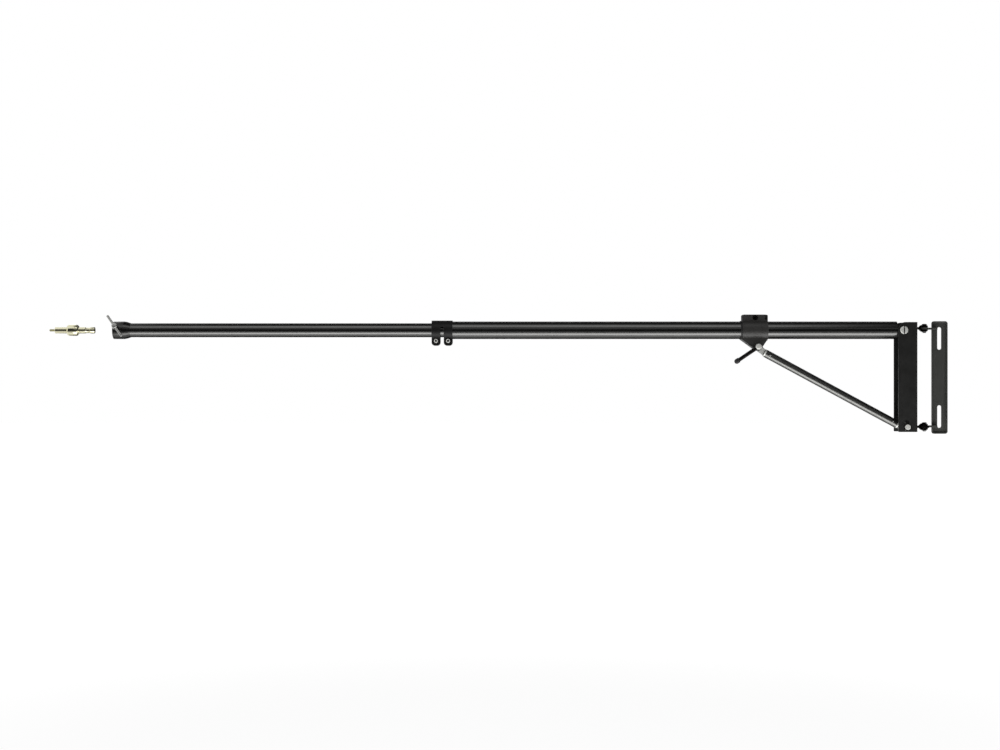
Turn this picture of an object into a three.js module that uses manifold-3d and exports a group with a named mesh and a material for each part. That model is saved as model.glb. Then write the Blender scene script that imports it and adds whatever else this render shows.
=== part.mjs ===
// A telescopic boom arm that hinges on a wall plate and is propped by a sliding strut.
//
// Frame: the origin is the middle of the wall plate's back face, on the wall. +Z is up, +Y points
// into the wall and +X runs from the boom's tip towards the plate. The arm is swung flat along the
// wall, its boom level and drawn out, and the loose spigot stands in line with its socket.
// All sizes are in millimetres.

import * as THREE from 'three';
import { mergeVertices } from 'three/addons/utils/BufferGeometryUtils.js';
import Module from 'manifold-3d';

const wasm = await Module();
wasm.setup();

// Shared clearances and facet counts
const runningGap = 0.3;
const cutOverrun = 2;
const tubeSides = 32;
const barSides = 16;
const arcSteps = 5;
const boltHeadSteps = 4;
const boltEndChamfer = 1;

// Wall plate, a shallow pressed tray with two upright slots
const plateWidth = 40;
const plateEndMargin = 19;
const plateThickness = 3;
const plateLipDepth = 8;
const plateCornerRadius = 6;
const slotWidth = 10;
const slotLength = 57;
const slotEndMargin = 15;

// Hinges between the plate and the upright
const hingeSpacing = 246;
const hingeAxisToWall = 45;
const hingeAxisToPlate = 28;
const hingePinDiameter = 8;
const hingePinHeadDiameter = 13;
const hingePinHeadHeight = 2.5;
const hingePinTail = 1.5;
const hingeEyeDiameter = 18;
const hingeEyeGap = 0.8;
const hingeLugThickness = 5;
const hingeLugWidth = 10;
const hingeLugBarDepth = 7.5;
const hingeLugSlotMargin = 2;
const hingeProngThickness = 5.5;
const forkBridgeLength = 2.7;
const forkTaperLength = 2.5;
const forkShankLength = 7.5;
const forkShankDiameter = 6;
const forkRivetDiameter = 12;
const forkEyeRound = 6.5;
const forkRivetHeight = 2;
const pinClipThickness = 1.2;
const pinClipGrooveDepth = 0.8;

// Boom tubes
const outerTubeDiameter = 44;
const outerTubeWall = 3;
const outerTubeLength = 1131;
const outerTubeSetback = 13;
const telescopeGap = 1.5;
const innerTubeWall = 2;
const innerTubeLength = 980;
const tubeOverlap = 197;

// Upright channel, folded from sheet and open towards the boom
const channelSheet = 3;
const channelBendRadius = 5;
const cheekSideGap = 2;
const channelDepth = 48.1;
const channelTopMargin = 15;
const channelBottomMargin = 12.4;
const cheekTopRadius = 18;
const cheekFootRadius = 2;
const boomPivotDrop = 20;
const boomPivotSetback = 34.4;
const footPivotRise = 12.4;
const footPivotSetback = 25.7;
const footSlotTravel = 12;
const footSlotSideGap = 1;

// Boom pivot
const pivotBoltDiameter = 10;
const pivotBoltHeadDiameter = 20;
const pivotBoltHeadHeight = 5;
const pivotBoltHeadRound = 2.5;
const pivotBoltSlotWidth = 3;
const pivotBoltSlotDepth = 3;
const pivotBoltTail = 2;
const pivotNutAcrossFlats = 17;
const pivotNutHeight = 8;
const pivotSleeveWall = 2.7;
const rootTongueWidth = 38;
const rootTongueHeight = 30;
const rootPlugLength = 50;
const rootPlugWall = 5;
const rootPlugBoreDepth = 40;

// Flush screws that hold the plugs in the tubes
const flushScrewDiameter = 5;
const flushScrewHeadDiameter = 9;
const flushScrewLength = 8;
const flushScrewInset = 0.4;
const rootScrewPlaces = [15, 35];

// Clamp where the inner tube leaves the outer tube
const clampRingWidth = 21.85;
const clampRingGap = 8.5;
const clampWall = 2;
const clampBridgeShare = 0.35;
const clampEarWidth = 24;
const clampEarMargin = 11.9;
const clampEarRadius = 8;
const clampSplitWidth = 4;
const clampScrewWall = 1;
const clampScrewDiameter = 6;
const clampScrewHeadDiameter = 10;
const clampScrewHeadHeight = 6;
const clampScrewKeyDiameter = 5.8;
const clampScrewKeyDepth = 3;
const clampNutAcrossFlats = 10;
const clampNutHeight = 5;
const screwTail = 1.5;

// Screws of the collar
const capScrewDiameter = 8;
const capScrewHeadDiameter = 13;
const capScrewHeadHeight = 8;
const capScrewKeyDiameter = 6.9;
const capScrewKeyDepth = 4;
const smallNutAcrossFlats = 13;
const smallNutHeight = 6.5;

// Sliding collar in two halves that carries the strut
const collarWidth = 63;
const collarOverhang = 5;
const collarWall = 2.2;
const collarLinerWall = 1.2;
const collarSplitGap = 3;
const collarEarScrewMargin = 5;
const collarEarMargin = 8;
const collarEarDepth = 14;
const collarShoulderInset = 0.5;
const collarGrooveWidth = 1.6;
const collarGrooveDepth = 1.2;
const collarGrooveOffset = 15;
const collarEarGrooveWidth = 6;
const collarEarGrooveDepth = 6;
const collarEarGrooveOffset = 27;
const collarToBoomPivot = 367.8;
const strutPivotOffset = 6.8;
const strutPivotBelowTube = 19.3;
const lugRadius = 9.5;
const lugOuterHalfWidth = 18;
const lugSleeveDiameter = 12;
const lugSleeveSeat = 10;

// Lever that tightens the collar
const leverHubDiameter = 15;
const leverHubHeight = 14;
const leverHubDome = 2;
const leverArmDiameter = 9.6;
const leverArmHeight = 7;
const leverArmSeat = 5;
const leverReach = 71.5;
const leverDropAngle = 34;
const leverTipDiameter = 12.6;
const leverTipLength = 13;
const leverTipSeat = 7;
const leverTipRoundStart = 0.98 * Math.PI;

// Strut
const strutTubeDiameter = 20;
const strutTubeWall = 1.5;
const strutUpperSetback = 26.5;
const strutFootSetback = 22;
const strutTubeDrop = 4.5;
const strutNeckHeight = 15;
const strutTongueThickness = 8;
const strutTongueRadius = 9;
const strutFootThickness = 12;
const strutFootRadius = 10;
const strutShoulderLength = 4;
const strutPlugLength = 25;
const springPinDiameter = 4;
const springPinSetback = 12;
const footBoltDiameter = 10;
const footBoltHeadDiameter = 13.5;
const footBoltHeadHeight = 5.5;
const footBoltHeadRound = 1.8;
const footBoltTail = 2;
const footNutAcrossFlats = 17;
const footNutHeight = 6;
const footWasherDiameter = 18;
const footWasherThickness = 1.5;
const footSpacerWall = 3;

// Socket on the inner tube's end, and its lock screw
const socketDiameter = 44;
const socketLength = 42.4;
const socketTaperLength = 15;
const socketTubeLip = 0.7;
const socketMouthChamfer = 1.5;
const socketBoreDepth = 42;
const socketPlugLength = 30;
const socketScrewPlace = 15;
const lockScrewSetback = 8.8;
const lockScrewRiseAngle = 17;
const lockScrewDiameter = 8;
const lockBossDiameter = 16;
const lockBossHeight = 5;
const lockHubDiameter = 14;
const lockHubHeight = 12.5;
const lockHubDome = 2;
const lockBarDiameter = 6;
const lockBarLength = 67;
const lockBarHeight = 6.6;
const lockBarAngle = 54;
const lockBarChamfer = 0.8;
const bushPlugLength = 15;
const bushFlangeLength = 4;
const bushTubeGap = 0.3;

// Spigot that goes into the socket
const spigotDiameter = 16;
const spigotGap = 47.1;
const spigotInnerLength = 39.5;
const spigotCollarLength = 30;
const spigotCollarDiameter = 28;
const spigotCollarRound = 7;
const spigotOuterLength = 29.5;
const spigotStudDiameter = 6.35;
const spigotStudLength = 14.2;
const spigotStudSeat = 8;
const spigotChamfer = 1;
const spigotGrooveStart = 10.8;
const spigotGrooveLength = 12.5;
const spigotGrooveDepth = 1;

// Sizes that follow from the ones above
const plateHeight = hingeSpacing + 2 * plateEndMargin;
const plateToHinge = plateWidth / 2 + hingeAxisToPlate;
const forkStackHalf = hingeLugThickness / 2 + runningGap + hingeProngThickness;
const forkLength = forkBridgeLength + forkTaperLength + forkShankLength;
const webStandOff = hingeEyeDiameter / 2 + hingeEyeGap + forkLength;
const channelInnerHalf = outerTubeDiameter / 2 + cheekSideGap;
const channelHalfWidth = channelInnerHalf + channelSheet;
const channelTop = hingeSpacing / 2 + channelTopMargin;
const channelBottom = -hingeSpacing / 2 - channelBottomMargin;
const boomHeight = channelTop - boomPivotDrop;
const footHeight = channelBottom + footPivotRise;
const boomPivotX = -webStandOff - boomPivotSetback;
const footPivotX = -webStandOff - footPivotSetback;
const outerBore = outerTubeDiameter - 2 * outerTubeWall;
const innerTubeDiameter = outerBore - 2 * telescopeGap;
const innerBore = innerTubeDiameter - 2 * innerTubeWall;
const outerTubeEnd = -outerTubeSetback - outerTubeLength;
const frictionWasherDiameter = 2 * (outerTubeSetback - 2 * runningGap);
const clampBore = outerTubeDiameter + 2 * runningGap;
const spotFaceDiameter = clampNutAcrossFlats / Math.cos(Math.PI / 6) + 2 * runningGap;
const clampScrewDrop = clampBore / 2 + clampScrewWall + clampScrewDiameter / 2 + runningGap;
const clampEarDrop = clampScrewDrop + clampEarMargin;
const collarBore = outerTubeDiameter + 4 * runningGap + 2 * collarLinerWall;
const collarOuterRadius = collarBore / 2 + collarWall;
const collarEarScrewRise = collarOuterRadius + collarEarScrewMargin;
const collarEarRise = collarEarScrewRise + collarEarMargin;
const collarShoulderDrop = outerTubeDiameter / 2 - collarShoulderInset;
const collarX = boomPivotX - collarToBoomPivot;
const collarStart = -collarWidth / 2 - collarOverhang;
const collarReach = 2 * (collarWidth + collarOverhang);
const strutPivotDrop = outerTubeDiameter / 2 + strutPivotBelowTube;
const strutPivotX = collarX + strutPivotOffset;
const strutPivotHeight = boomHeight - strutPivotDrop;
const strutLength = Math.hypot(footPivotX - strutPivotX, strutPivotHeight - footHeight);
const strutAngle = Math.atan2(strutPivotHeight - footHeight, footPivotX - strutPivotX);
const lugInnerHalfWidth = strutTongueThickness / 2 + 2 * runningGap;
const capScrew = {
  diameter: capScrewDiameter,
  headDiameter: capScrewHeadDiameter,
  headHeight: capScrewHeadHeight,
  keyDiameter: capScrewKeyDiameter,
  keyDepth: capScrewKeyDepth,
};
const clampScrew = {
  diameter: clampScrewDiameter,
  headDiameter: clampScrewHeadDiameter,
  headHeight: clampScrewHeadHeight,
  keyDiameter: clampScrewKeyDiameter,
  keyDepth: clampScrewKeyDepth,
};
const socketBore = spigotDiameter + 2 * runningGap;
const socketX = boomPivotX + outerTubeEnd + tubeOverlap - innerTubeLength;
const spigotX = socketX - socketLength - spigotGap;

// Finishes
const finish = {
  blackAnodised: { color: 0x1c1c1b, roughness: 0.38, metalness: 0.6 },
  blackCasting: { color: 0x161615, roughness: 0.55, metalness: 0.3 },
  blackPaint: { color: 0x2a2a29, roughness: 0.5, metalness: 0.2 },
  blackSteel: { color: 0x141413, roughness: 0.45, metalness: 0.5 },
  satinChrome: { color: 0xb9b9b7, roughness: 0.3, metalness: 0.9 },
  brightSteel: { color: 0xd6d6d2, roughness: 0.25, metalness: 0.9 },
  paleBrass: { color: 0xd9d6b4, roughness: 0.28, metalness: 0.9 },
  blackNylon: { color: 0x1a1a1a, roughness: 0.6, metalness: 0 },
};

// Turns a closed geometry into a solid, leaving out triangles that have shrunk to a line
function solidOf(geometry) {
  const bare = geometry.clone();
  bare.deleteAttribute('normal');
  bare.deleteAttribute('uv');
  const merged = mergeVertices(bare);
  const corners = merged.index.array;
  const triVerts = [];
  for (let i = 0; i < corners.length; i += 3) {
    const [a, b, c] = [corners[i], corners[i + 1], corners[i + 2]];
    if (a !== b && b !== c && c !== a) {
      triVerts.push(a, b, c);
    }
  }
  return new wasm.Manifold(new wasm.Mesh({
    numProp: 3,
    vertProperties: new Float32Array(merged.attributes.position.array),
    triVerts: new Uint32Array(triVerts),
  }));
}

// Turns a solid back into a geometry
function geometryOf(solid) {
  const mesh = solid.getMesh();
  const geometry = new THREE.BufferGeometry();
  geometry.setAttribute('position', new THREE.BufferAttribute(new Float32Array(mesh.vertProperties), 3));
  geometry.setIndex(new THREE.BufferAttribute(new Uint32Array(mesh.triVerts), 1));
  geometry.computeVertexNormals();
  return geometry;
}

function join(first, ...others) {
  return others.reduce((whole, next) => whole.add(next), first);
}

function cut(first, ...tools) {
  return tools.reduce((whole, tool) => whole.subtract(tool), first);
}

// A named mesh with its own material
function piece(name, solid, look) {
  const mesh = new THREE.Mesh(geometryOf(solid), new THREE.MeshStandardMaterial(look));
  mesh.name = name;
  return mesh;
}

function groupOf(...members) {
  const group = new THREE.Group();
  group.add(...members);
  return group;
}

// Turns a geometry made along +Y so that it lies along the named axis
function layAlong(axis, geometry) {
  if (axis === 'x') {
    geometry.rotateZ(-Math.PI / 2);
  }
  if (axis === 'z') {
    geometry.rotateX(Math.PI / 2);
  }
  return geometry;
}

// A round bar along an axis through the given place
function bar(axis, diameter, from, to, place = {}, sides = barSides) {
  const geometry = new THREE.CylinderGeometry(diameter / 2, diameter / 2, to - from, sides);
  geometry.translate(0, (from + to) / 2, 0);
  layAlong(axis, geometry);
  geometry.translate(place.x ?? 0, place.y ?? 0, place.z ?? 0);
  return solidOf(geometry);
}

function tube(axis, outer, bore, from, to, place = {}, sides = barSides) {
  const tool = bar(axis, bore, from - cutOverrun, to + cutOverrun, place, sides);
  return cut(bar(axis, outer, from, to, place, sides), tool);
}

// A hexagon bar, measured across its flats
function hexBar(axis, acrossFlats, from, to, place = {}) {
  return bar(axis, acrossFlats / Math.cos(Math.PI / 6), from, to, place, 6);
}

function hexNut(axis, acrossFlats, bore, from, to, place = {}) {
  const hole = bar(axis, bore, from - cutOverrun, to + cutOverrun, place);
  return cut(hexBar(axis, acrossFlats, from, to, place), hole);
}

function block(x, y, z) {
  const geometry = new THREE.BoxGeometry(x[1] - x[0], y[1] - y[0], z[1] - z[0]);
  geometry.translate((x[0] + x[1]) / 2, (y[0] + y[1]) / 2, (z[0] + z[1]) / 2);
  return solidOf(geometry);
}

// Extrudes an outline drawn in X and Z along Y
function slabAlongY(outline, from, to) {
  const geometry = new THREE.ExtrudeGeometry(outline, {
    depth: to - from,
    bevelEnabled: false,
    curveSegments: arcSteps,
  });
  geometry.rotateX(Math.PI / 2);
  geometry.translate(0, to, 0);
  return solidOf(geometry);
}

// Extrudes an outline drawn in X and Y along Z
function slabAlongZ(outline, from, to) {
  const geometry = new THREE.ExtrudeGeometry(outline, {
    depth: to - from,
    bevelEnabled: false,
    curveSegments: arcSteps,
  });
  geometry.translate(0, 0, from);
  return solidOf(geometry);
}

// A turned piece from [place, radius] pairs in rising order; its ends close on the axis
function turned(axis, profile, sides = barSides) {
  const points = profile.map(([place, radius]) => new THREE.Vector2(radius, place));
  points.unshift(new THREE.Vector2(0, profile[0][0]));
  points.push(new THREE.Vector2(0, profile[profile.length - 1][0]));
  return solidOf(layAlong(axis, new THREE.LatheGeometry(points, sides)));
}

// Points of a quarter round between two [place, radius] corners, for a turned profile
function quarterRound(centrePlace, centreRadius, round, startAngle, endAngle, steps) {
  const points = [];
  for (let i = 0; i <= steps; i++) {
    const angle = startAngle + ((endAngle - startAngle) * i) / steps;
    points.push([centrePlace + round * Math.cos(angle), centreRadius + round * Math.sin(angle)]);
  }
  return points;
}

// A rectangle with its own radius at each corner: lower left, lower right, upper right, upper left
function roundedRectangle(left, right, bottom, top, radii) {
  const [lowerLeft, lowerRight, upperRight, upperLeft] = radii;
  const outline = new THREE.Shape();
  outline.moveTo(left + lowerLeft, bottom);
  outline.lineTo(right - lowerRight, bottom);
  outline.absarc(right - lowerRight, bottom + lowerRight, lowerRight, -Math.PI / 2, 0, false);
  outline.lineTo(right, top - upperRight);
  outline.absarc(right - upperRight, top - upperRight, upperRight, 0, Math.PI / 2, false);
  outline.lineTo(left + upperLeft, top);
  outline.absarc(left + upperLeft, top - upperLeft, upperLeft, Math.PI / 2, Math.PI, false);
  outline.lineTo(left, bottom + lowerLeft);
  outline.absarc(left + lowerLeft, bottom + lowerLeft, lowerLeft, Math.PI, 1.5 * Math.PI, false);
  return outline;
}

// An upright slot with round ends, for cutting
function uprightSlot(width, bottom, top, centre) {
  const outline = new THREE.Shape();
  const radius = width / 2;
  outline.absarc(centre, bottom + radius, radius, Math.PI, 2 * Math.PI, false);
  outline.absarc(centre, top - radius, radius, 0, Math.PI, false);
  return outline;
}

// The angle at which a straight edge from a point touches a circle, on its left or right side
function touchAngle(pointX, pointZ, centreX, centreZ, radius, side) {
  const distance = Math.hypot(centreX - pointX, centreZ - pointZ);
  const toPoint = Math.atan2(pointZ - centreZ, pointX - centreX);
  return toPoint + side * Math.acos(radius / distance);
}

// A cap screw along Y with its head on the near side
function keyedScrew(screw, headFace, end, place) {
  const headSeat = headFace + screw.headHeight;
  const keyFloor = headFace + screw.keyDepth;
  const key = bar('y', screw.keyDiameter, headFace - cutOverrun, keyFloor, place, 6);
  const head = bar('y', screw.headDiameter, headFace, headSeat, place);
  const shank = bar('y', screw.diameter, headSeat, end, place);
  return cut(join(head, shank), key);
}

// A flush screw under a tube of the given diameter, and the hole that it needs
function flushScrew(place, diameter, wall) {
  const face = -diameter / 2 + flushScrewInset;
  const seat = -diameter / 2 + wall;
  const head = bar('z', flushScrewHeadDiameter, face, seat, { x: place });
  return join(head, bar('z', flushScrewDiameter, seat, seat + flushScrewLength, { x: place }));
}

function flushScrewHole(place, diameter, wall) {
  const outside = -diameter / 2 - cutOverrun;
  const seat = -diameter / 2 + wall + runningGap / 2;
  const end = seat + flushScrewLength + runningGap;
  const wide = bar('z', flushScrewHeadDiameter + 2 * runningGap, outside, seat, { x: place });
  const narrow = bar('z', flushScrewDiameter + 2 * runningGap, outside, end, { x: place });
  return join(wide, narrow);
}

// Wall plate
function makeWallPlate() {
  const halfHeight = plateHeight / 2;
  const radii = [plateCornerRadius, plateCornerRadius, plateCornerRadius, plateCornerRadius];
  const innerRadius = Math.max(plateCornerRadius - plateThickness, plateThickness / 2);
  const innerRadii = [innerRadius, innerRadius, innerRadius, innerRadius];
  const innerHalfWidth = plateWidth / 2 - plateThickness;
  const innerHalfHeight = halfHeight - plateThickness;
  const outer = roundedRectangle(-plateWidth / 2, plateWidth / 2, -halfHeight, halfHeight, radii);
  const inner = roundedRectangle(
    -innerHalfWidth, innerHalfWidth, -innerHalfHeight, innerHalfHeight, innerRadii);
  const hollow = slabAlongY(inner, -plateLipDepth - cutOverrun, -plateThickness);
  const slotTop = halfHeight - slotEndMargin;
  const upper = uprightSlot(slotWidth, slotTop - slotLength, slotTop, 0);
  const lower = uprightSlot(slotWidth, -slotTop, slotLength - slotTop, 0);
  const upperCut = slabAlongY(upper, -plateLipDepth - cutOverrun, cutOverrun);
  const lowerCut = slabAlongY(lower, -plateLipDepth - cutOverrun, cutOverrun);
  const tray = cut(slabAlongY(outer, -plateLipDepth, 0), hollow, upperCut, lowerCut);
  return piece('wall_plate', tray, finish.blackPaint);
}

// Hinge lug, drawn from the hinge axis: an eye, a neck towards the wall and a foot in the tray
function makeHingeLug(name) {
  const lipTop = hingeAxisToWall - plateLipDepth - runningGap;
  const barFront = lipTop - hingeLugBarDepth;
  const footFloor = hingeAxisToWall - plateThickness;
  const footStart = hingeAxisToPlate + plateThickness + runningGap;
  const footEnd = plateToHinge - slotWidth / 2 - hingeLugSlotMargin;
  const outline = new THREE.Shape();
  outline.moveTo(-hingeLugWidth / 2, 0);
  outline.lineTo(hingeLugWidth / 2, 0);
  outline.lineTo(hingeLugWidth / 2, barFront);
  outline.lineTo(footEnd, barFront);
  outline.lineTo(footEnd, footFloor);
  outline.lineTo(footStart, footFloor);
  outline.lineTo(footStart, lipTop);
  outline.lineTo(0, lipTop);
  outline.lineTo(-hingeLugWidth / 2, lipTop - hingeLugWidth / 2);
  const half = hingeLugThickness / 2;
  const arm = join(slabAlongZ(outline, -half, half), bar('z', hingeEyeDiameter, -half, half));
  const hole = bar('z', hingePinDiameter + 2 * runningGap, -half - cutOverrun, half + cutOverrun);
  return piece(name, cut(arm, hole), finish.blackPaint);
}

// Hinge fork: two prongs round the lug's eye, on a shank that is riveted through the channel's web
function makeHingeFork(name) {
  const eyeRadius = hingeEyeDiameter / 2;
  const bridgeStart = -eyeRadius - hingeEyeGap;
  const bridgeEnd = bridgeStart - forkBridgeLength;
  const taperEnd = bridgeEnd - forkTaperLength;
  const webInside = -webStandOff - channelSheet - runningGap;
  const neck = hingeLugWidth / 2;
  const shankRadius = forkShankDiameter / 2;
  const gapHalf = hingeLugThickness / 2 + runningGap;
  const rounds = [forkEyeRound, forkEyeRound, forkEyeRound, forkEyeRound];
  const side = roundedRectangle(bridgeEnd, eyeRadius, -forkStackHalf, forkStackHalf, rounds);
  const head = join(
    bar('z', hingeEyeDiameter, -forkStackHalf, forkStackHalf),
    block([bridgeEnd, 0], [-neck, neck], [-forkStackHalf, forkStackHalf]),
  ).intersect(slabAlongY(side, -eyeRadius, eyeRadius));
  const body = join(
    head,
    turned('x', [[taperEnd, shankRadius], [bridgeEnd, neck]]),
    bar('x', forkShankDiameter, webInside, taperEnd + cutOverrun),
    bar('x', forkRivetDiameter, webInside - forkRivetHeight, webInside),
  );
  const throat = block([bridgeStart, eyeRadius + cutOverrun], [-eyeRadius, eyeRadius], [-gapHalf, gapHalf]);
  const reach = forkStackHalf + cutOverrun;
  const hole = bar('z', hingePinDiameter + 2 * runningGap, -reach, reach);
  return piece(name, cut(body, throat, hole), finish.blackSteel);
}

// Hinge pin with a domed head above and a groove for its clip below
function makeHingePin(name) {
  const radius = hingePinDiameter / 2;
  const headRadius = hingePinHeadDiameter / 2;
  const headFloor = forkStackHalf + runningGap;
  const grooveTop = -forkStackHalf;
  const grooveFloor = grooveTop - pinClipThickness - 2 * runningGap;
  const profile = [
    [grooveFloor - hingePinTail, radius - pinClipGrooveDepth],
    [grooveFloor - hingePinTail / 2, radius],
    [grooveFloor, radius],
    [grooveFloor, radius - pinClipGrooveDepth],
    [grooveTop, radius - pinClipGrooveDepth],
    [grooveTop, radius],
    [headFloor, radius],
    [headFloor, headRadius],
    [headFloor + hingePinHeadHeight / 2, headRadius],
    [headFloor + hingePinHeadHeight, headRadius - hingePinHeadHeight],
  ];
  return piece(name, turned('z', profile), finish.blackSteel);
}

// Spring clip in a pin's groove
function makePinClip(name) {
  const top = -forkStackHalf - runningGap;
  const bore = hingePinDiameter - 2 * pinClipGrooveDepth + 2 * runningGap;
  const ring = tube('z', hingePinHeadDiameter, bore, top - pinClipThickness, top);
  const mouth = block([0, hingePinHeadDiameter], [-bore / 2, bore / 2], [top - hingePinHeadDiameter, 0]);
  return piece(name, cut(ring, mouth), finish.brightSteel);
}

// Upright channel, drawn from the hinge axis
function makeChannel() {
  const web = -webStandOff;
  const front = web - channelDepth;
  const innerBend = Math.max(channelBendRadius - channelSheet, channelSheet / 3);
  const bends = [0, channelBendRadius, channelBendRadius, 0];
  const innerBends = [0, innerBend, innerBend, 0];
  const section = roundedRectangle(front, web, -channelHalfWidth, channelHalfWidth, bends);
  const hollow = roundedRectangle(
    front - cutOverrun, web - channelSheet, -channelInnerHalf, channelInnerHalf, innerBends);
  const side = roundedRectangle(
    front, web, channelBottom, channelTop, [cheekFootRadius, 0, 0, cheekTopRadius]);
  const folded = cut(
    slabAlongZ(section, channelBottom, channelTop),
    slabAlongZ(hollow, channelBottom - cutOverrun, channelTop + cutOverrun),
  ).intersect(slabAlongY(side, -channelHalfWidth, channelHalfWidth));
  const reach = channelHalfWidth + cutOverrun;
  const pivot = { x: boomPivotX, z: boomHeight };
  const pivotHole = bar('y', pivotBoltDiameter + 2 * runningGap, -reach, reach, pivot);
  const footWidth = footBoltDiameter + 2 * footSlotSideGap;
  const footBottom = footHeight - footBoltDiameter / 2 - runningGap;
  const footTop = footHeight + footSlotTravel + footBoltDiameter / 2 + runningGap;
  const footSlot = slabAlongY(uprightSlot(footWidth, footBottom, footTop, footPivotX), -reach, reach);
  const rivetHoles = [-hingeSpacing / 2, hingeSpacing / 2].map((height) => {
    const from = web - channelSheet - cutOverrun;
    return bar('x', forkShankDiameter + 2 * runningGap, from, web + cutOverrun, { z: height });
  });
  return piece('upright_channel', cut(folded, pivotHole, footSlot, ...rivetHoles), finish.blackPaint);
}

// Boom pivot: slotted bolt, sleeve and nut, drawn from the pivot
function makeBoomPivot() {
  const headFace = -channelHalfWidth - pivotBoltHeadHeight;
  const farFace = channelHalfWidth;
  const end = farFace + pivotNutHeight + pivotBoltTail;
  const headRadius = pivotBoltHeadDiameter / 2;
  const boltRadius = pivotBoltDiameter / 2;
  const round = pivotBoltHeadRound;
  const headProfile = quarterRound(
    headFace + round, headRadius - round, round, Math.PI, Math.PI / 2, boltHeadSteps);
  const bolt = turned('y', [
    ...headProfile,
    [-channelHalfWidth, headRadius],
    [-channelHalfWidth, boltRadius],
    [end - boltEndChamfer, boltRadius],
    [end, boltRadius - boltEndChamfer],
  ]);
  const half = pivotBoltSlotWidth / 2;
  const reach = headRadius + cutOverrun;
  const slotFace = headFace - cutOverrun;
  const slot = block([-half, half], [slotFace, headFace + pivotBoltSlotDepth], [-reach, reach]);
  const bore = pivotBoltDiameter + 2 * runningGap;
  const sleeveDiameter = pivotBoltDiameter + 2 * (runningGap + pivotSleeveWall);
  const sleeveHalf = channelInnerHalf - runningGap;
  const sleeve = tube('y', sleeveDiameter, bore, -sleeveHalf, sleeveHalf);
  const nut = hexNut('y', pivotNutAcrossFlats, bore, farFace, farFace + pivotNutHeight);
  return groupOf(
    piece('boom_pivot_bolt', cut(bolt, slot), finish.brightSteel),
    piece('boom_pivot_sleeve', sleeve, finish.satinChrome),
    piece('boom_pivot_nut', nut, finish.brightSteel),
  );
}

// Outer tube, drawn from the boom pivot, with holes for the root fitting's screws
function makeOuterTube() {
  const shell = tube('x', outerTubeDiameter, outerBore, outerTubeEnd, -outerTubeSetback, {}, tubeSides);
  const holes = rootScrewPlaces.map((place) =>
    flushScrewHole(-outerTubeSetback - place, outerTubeDiameter, outerTubeWall));
  return piece('outer_tube', cut(shell, ...holes), finish.blackAnodised);
}

// Root fitting: a plug in the tube and a tongue round the boom pivot
function makeRootFitting() {
  const plugDiameter = outerBore - 2 * runningGap;
  const shoulder = -outerTubeSetback + runningGap;
  const plugEnd = -outerTubeSetback - rootPlugLength;
  const half = rootTongueWidth / 2;
  const height = rootTongueHeight / 2;
  const sleeveDiameter = pivotBoltDiameter + 2 * (runningGap + pivotSleeveWall);
  const roundEnd = bar('y', rootTongueHeight, -half, half, {}, tubeSides)
    .intersect(block([shoulder, height], [-half, half], [-height, height]));
  const body = join(
    bar('x', plugDiameter, plugEnd, shoulder, {}, tubeSides),
    block([shoulder, 0], [-half, half], [-height, height]),
    roundEnd,
  );
  const hollowDiameter = plugDiameter - 2 * rootPlugWall;
  const hollow = bar('x', hollowDiameter, plugEnd - cutOverrun, plugEnd + rootPlugBoreDepth);
  const bore = bar('y', sleeveDiameter + 2 * runningGap, -half - cutOverrun, half + cutOverrun);
  const holes = rootScrewPlaces.map((place) =>
    flushScrewHole(-outerTubeSetback - place, outerTubeDiameter, outerTubeWall));
  return piece('boom_root_fitting', cut(body, hollow, bore, ...holes), finish.blackCasting);
}

function makeRootScrews() {
  return groupOf(...rootScrewPlaces.map((place, index) => {
    const screw = flushScrew(-outerTubeSetback - place, outerTubeDiameter, outerTubeWall);
    return piece(`root_fitting_screw_${index + 1}`, screw, finish.blackSteel);
  }));
}

// A nylon washer on each side of the tongue fills the channel's width
function makeFrictionWashers() {
  const bore = pivotBoltDiameter + 2 * (runningGap + pivotSleeveWall) + 2 * runningGap;
  const inside = rootTongueWidth / 2 + runningGap / 2;
  const outside = channelInnerHalf - runningGap / 2;
  const near = tube('y', frictionWasherDiameter, bore, -outside, -inside);
  const far = tube('y', frictionWasherDiameter, bore, inside, outside);
  return groupOf(
    piece('near_friction_washer', near, finish.blackNylon),
    piece('far_friction_washer', far, finish.blackNylon),
  );
}

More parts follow.
